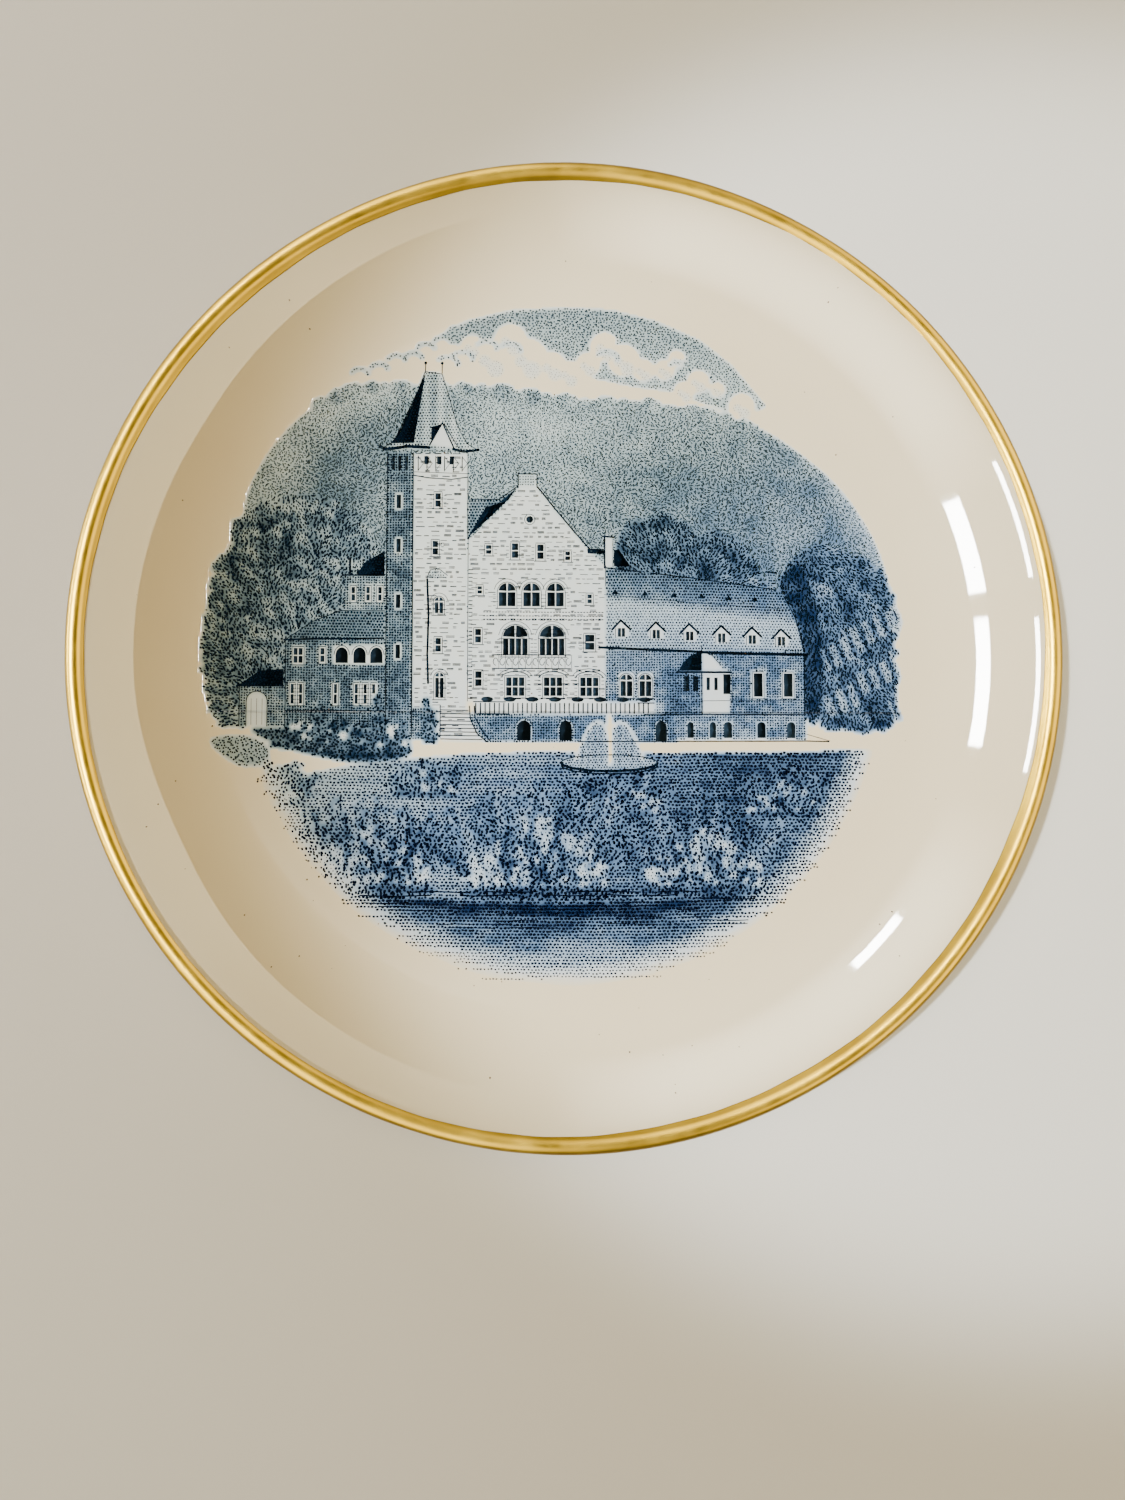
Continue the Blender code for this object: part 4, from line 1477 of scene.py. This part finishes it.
def glaze_underfoot():
    """The pool of glaze inside the foot ring."""
    against_body = recess_line(SKIN, SKIN)[::-1]
    shown = recess_line(SURFACE, 2 * SKIN)
    mesh = lathe_mesh("glaze_underfoot", np.vstack([against_body, shown]))
    return finish_object("glaze_underfoot", mesh, [glaze_material()], "glaze_base")


def gold_band():
    """Hand-laid gold over the lip: its inner edge wanders, and it is rubbed off the outside in places."""
    turns = np.arange(TURNS) * math.tau / TURNS
    wander = 0.06 * np.sin(7 * turns + 1.0) + 0.04 * np.sin(19 * turns) + 0.025 * np.sin(53 * turns + 0.5)
    start = BAND_START + 0.35 * np.cos(2 * turns - math.radians(90)) + wander
    rubbed = 0.14 + 0.30 * np.exp(-(((turns - math.radians(240)) / 0.7) ** 2)) + 1.5 * np.abs(wander)
    rings = []
    for distance in (SURFACE + GOLD_RISE, SURFACE - 0.02):
        reach = face_points(wall_angles(), 1, distance)[:, 0]
        first = np.interp(start, reach, wall_angles())
        band = []
        for share in np.linspace(0.0, 1.0, 6):
            radius, height = face_points(first + (ARC_ANGLE - first) * share, 1, distance).T
            band.append(turned_ring(radius, height))
        for share in np.linspace(0.0, 1.0, 17)[1:]:
            crest = ARC_ANGLE + math.pi / 2
            radius, height = lip_points(crest + (rubbed - crest) * share, distance).T
            band.append(turned_ring(radius, height))
        rings += band if not rings else band[::-1]
    mesh = ring_mesh("gold_band", rings, closed=True)
    return finish_object("gold_band", mesh, [gold_material()], "gold_rim_band")


def stamp_rings():
    """Two plain rings under the foot, with no lettering."""
    height = RECESS_HEIGHT - SURFACE
    ink = ink_materials("ink_stamp", STAMP_INK, 0.0)[:1]
    for name, radius, width in (("stamp_ring_outer", 6.4, 0.45), ("stamp_ring_inner", 4.9, 0.20)):
        low, high = height - 0.02, height + 0.03
        ring = [(radius - width, low), (radius + width, low), (radius + width, high), (radius - width, high)]
        finish_object(name, lathe_mesh(name, ring, closed=True), ink, "back_stamp")


PINHOLES = 90
PINHOLE_REACH = 92.0


def pinholes():
    """Dark specks and pinholes in the glaze, scattered at random over the plate."""
    rng = np.random.default_rng(131)
    turn, radius = rng.uniform(0, math.tau, PINHOLES), PINHOLE_REACH * np.sqrt(rng.random(PINHOLES))
    size = rng.uniform(0.05, 0.17, PINHOLES)
    dots = np.column_stack([radius * np.cos(turn), radius * np.sin(turn), size * 1.2, size, turn])
    browns = ink_materials("speck_brown", SPECK_BROWN, 0.4)
    mesh = ink_mesh("glaze_pinholes", dots, [])
    return finish_object("glaze_pinholes", mesh, browns, "glaze_coat")


# ------------------------------------------------------------------------------------- the stage


FLOOR_HALF = 1600


def floor():
    """A plain pale floor."""
    half = FLOOR_HALF * MM
    corners = [(*corner, 0) for corner in box_outline(-half, -half, half, half)]
    mesh = bpy.data.meshes.new("floor")
    mesh.from_pydata(corners, [], [(0, 1, 2, 3)])
    obj = bpy.data.objects.new("floor", mesh)
    nodes = Nodes("pale_floor", (0.62, 0.62, 0.61), 0.7)
    mesh.materials.append(nodes.material)
    bpy.context.scene.collection.objects.link(obj)


CAMERA_PLACE = (-8.5, -31.8, 236.6)
CAMERA_TARGET = (-1.6, -20.1, 18.6)
LENS = 27.05
SENSOR_WIDTH = 36.0

# How far from the wall the glowing cards stand. The flat well doesn't mirror the far ones, and the
# room's cards stand behind the panes so as not to hide them.
NEAR = 620.0
FAR = 8000.0
ROOM = 9500.0
ROOM_LIGHT = (1.0, 0.95, 0.82)
WINDOW_LIGHT = (1.0, 0.88, 0.60)
PANE_LIGHT = (1.0, 1.0, 1.0)
SKY_LIGHT = (0.75, 0.85, 1.0)
OVERHEAD_LIGHT = (1.0, 0.76, 0.35)
KEY_LIGHT = (0.965, 1.0, 0.985)
KEY_HALF_ANGLE = 9.97


def add_light(name, kind, place, target, energy, colour, **settings):
    """A light that faces a target and that mirror rays don't see; places in mm."""
    data = bpy.data.lights.new(name, kind)
    data.energy = energy
    data.color = colour
    for key, value in settings.items():
        setattr(data, key, value)
    obj = bpy.data.objects.new(name, data)
    obj.location = Vector(place) * MM
    facing = (Vector(target) - Vector(place)).normalized()
    obj.rotation_euler = facing.to_track_quat("-Z", "Y").to_euler()
    obj.visible_glossy = False
    bpy.context.scene.collection.objects.link(obj)


def mirrored(radius, bearing, reach):
    """The point this far from the wall that is seen mirrored in it, at a radius and a bearing in degrees."""
    angles = wall_angles()
    line = face_points(angles, 1, SURFACE)
    angle = np.interp(radius, line[:, 0], angles)
    (low_r, low_z), (high_r, high_z) = face_points([angle - 0.01, angle + 0.01], 1, SURFACE)
    slope = math.atan2(high_z - low_z, high_r - low_r)
    outward = Vector((math.cos(math.radians(bearing)), math.sin(math.radians(bearing)), 0.0))
    place = outward * float(radius) + Vector((0.0, 0.0, float((low_z + high_z) / 2)))
    normal = Vector((0.0, 0.0, 1.0)) * math.cos(slope) - outward * math.sin(slope)
    view = (Vector(CAMERA_PLACE) - place).normalized()
    return place + (2 * normal.dot(view) * normal - view) * reach


def reflector(name, bearings, inner, outer, strength, colour, reach=FAR, glow=lambda bearing, share: 1.0):
    """A glowing card that only reflections show; the wall mirrors its edges at the inner and outer radii."""
    columns = 6
    shares = np.linspace(0.0, 1.0, columns + 1)
    points, glows = [], []
    for bearing in bearings:
        low, high = inner(bearing), outer(bearing)
        points += [mirrored(low + (high - low) * share, bearing, reach) * MM for share in shares]
        glows += [glow(bearing, share) for share in shares]
    faces = []
    for row in range(len(bearings) - 1):
        for column in range(columns):
            first = (columns + 1) * row + column
            faces.append((first, first + 1, first + columns + 2, first + columns + 1))
    mesh = bpy.data.meshes.new(name)
    mesh.from_pydata(points, [], faces)
    mesh.attributes.new("glow", "FLOAT", "POINT").data.foreach_set("value", np.array(glows, np.float32))
    nodes = Nodes(name, (0.0, 0.0, 0.0), 1.0, Emission_Color=(*colour, 1.0))
    share = nodes.add("ShaderNodeAttribute", attribute_name="glow").outputs["Fac"]
    nodes.link(nodes.map_range(share, 0.0, 1.0, 0.0, strength), nodes.shader.inputs["Emission Strength"])
    mesh.materials.append(nodes.material)
    obj = bpy.data.objects.new(name, mesh)
    obj.visible_camera = False
    obj.visible_diffuse = False
    obj.visible_shadow = False
    bpy.context.scene.collection.objects.link(obj)


def faded(start, full_from, full_to, end):
    """A glow that rises from start to full_from and falls from full_to to end, in degrees."""

    def glow(bearing, _):
        return float(np.interp(bearing, [start, full_from, full_to, end], [0.0, 1.0, 1.0, 0.0]))

    return glow


def window_reflectors():
    """A tall window on the right, mirrored as an arc in the left wall; it fades out at both ends."""

    def arc_start(bearing):
        narrowing = 0.075 * max(0.0, 148.0 - bearing) + 0.035 * max(0.0, bearing - 222.0)
        return 86.6 + narrowing - 1.1 * math.exp(-(((bearing - 205.0) / 13.0) ** 2))

    whole, middle = faded(98, 124, 218, 266), faded(108, 134, 206, 250)
    reflector("window_card", np.arange(98, 268, 4), arc_start, lambda b: 93.6, 8.5, WINDOW_LIGHT, NEAR, whole)
    edge_end = lambda b: arc_start(b) + 1.1
    reflector("window_edge", np.arange(106, 252, 4), arc_start, edge_end, 5.0, WINDOW_LIGHT, NEAR, middle)
    frame_start, frame_end = lambda b: 92.1, lambda b: 92.5
    reflector("window_frame", np.arange(110, 250, 4), frame_start, frame_end, 6.0, WINDOW_LIGHT, NEAR, middle)


def pane_reflectors():
    """Three bright panes on the left, mirrored as strokes in the right wall."""
    panes = [("pane_top", 22, 8.5, 3.0, 84.6), ("pane_middle", 5, -12.5, 2.4, 84.6)]
    panes.append(("pane_low", -39, -47.5, 1.6, 84.9))
    for name, first, last, width, radius in panes:
        inner, outer = (lambda b, r=radius - width / 2: r), (lambda b, r=radius + width / 2: r)
        reflector(name, np.linspace(first, last, 6), inner, outer, 260.0, PANE_LIGHT)
    for name, first, last in (("pane_top_rim", 24, 9), ("pane_middle_rim", 4, -15)):
        reflector(name, np.linspace(first, last, 6), lambda b: 92.7, lambda b: 93.3, 200.0, PANE_LIGHT)


def room_reflectors():
    """The bright room behind the camera, a soft veil over the wall at the upper and the lower right."""
    for name, first, last in (("room_above", 20, 92), ("room_below", -92, -20)):
        span = last - first

        def glow(bearing, share, first=first, span=span):
            along = math.sin(math.pi * (bearing - first) / span)
            return min(1.0, 1.6 * along) * math.sin(math.pi * share) ** 0.7

        sweep = np.linspace(first, last, 17)
        reflector(name, sweep, lambda b: 81.0, lambda b: 94.6, 12.0, ROOM_LIGHT, reach=ROOM, glow=glow)


def lights():
    """Warm soft light all over, and a white key that leaves the left third of the plate in shade."""
    world = bpy.data.worlds.new("studio")
    world.use_nodes = True
    background = world.node_tree.nodes["Background"]
    background.inputs["Color"].default_value = (*SKY_LIGHT, 1.0)
    background.inputs["Strength"].default_value = 0.06
    bpy.context.scene.world = world
    square = {"shape": "SQUARE", "size": 900 * MM}
    add_light("overhead", "AREA", (-60, 0, 900), (0, 0, 0), 8.8, OVERHEAD_LIGHT, **square)
    cone = {"spot_size": 2 * math.radians(KEY_HALF_ANGLE), "spot_blend": 0.51, "shadow_soft_size": 14 * MM}
    add_light("key", "SPOT", (-340, 0, 800), (90, 0, 10), 54.0, KEY_LIGHT, **cone)
    window_reflectors()
    pane_reflectors()
    room_reflectors()


def camera():
    """Above the plate and a little nearer than its middle, looking almost straight down."""
    place, target = Vector(CAMERA_PLACE), Vector(CAMERA_TARGET)
    back = (place - target).normalized()
    right = Vector((0, 1, 0)).cross(back).normalized()
    up = back.cross(right)
    data = bpy.data.cameras.new("camera")
    data.lens = LENS
    data.sensor_width = SENSOR_WIDTH
    data.clip_start = 0.01
    obj = bpy.data.objects.new("camera", data)
    rotation = Matrix((right, up, back)).transposed().to_4x4()
    obj.matrix_world = Matrix.Translation(place * MM) @ rotation
    bpy.context.scene.collection.objects.link(obj)
    bpy.context.scene.camera = obj


def build():
    camera()
    lights()
    floor()
    compose_picture()
    porcelain_biscuit()
    glaze_coat()
    glaze_underfoot()
    gold_band()
    stamp_rings()
    pinholes()
    print_ground()
    print_pieces()


build()
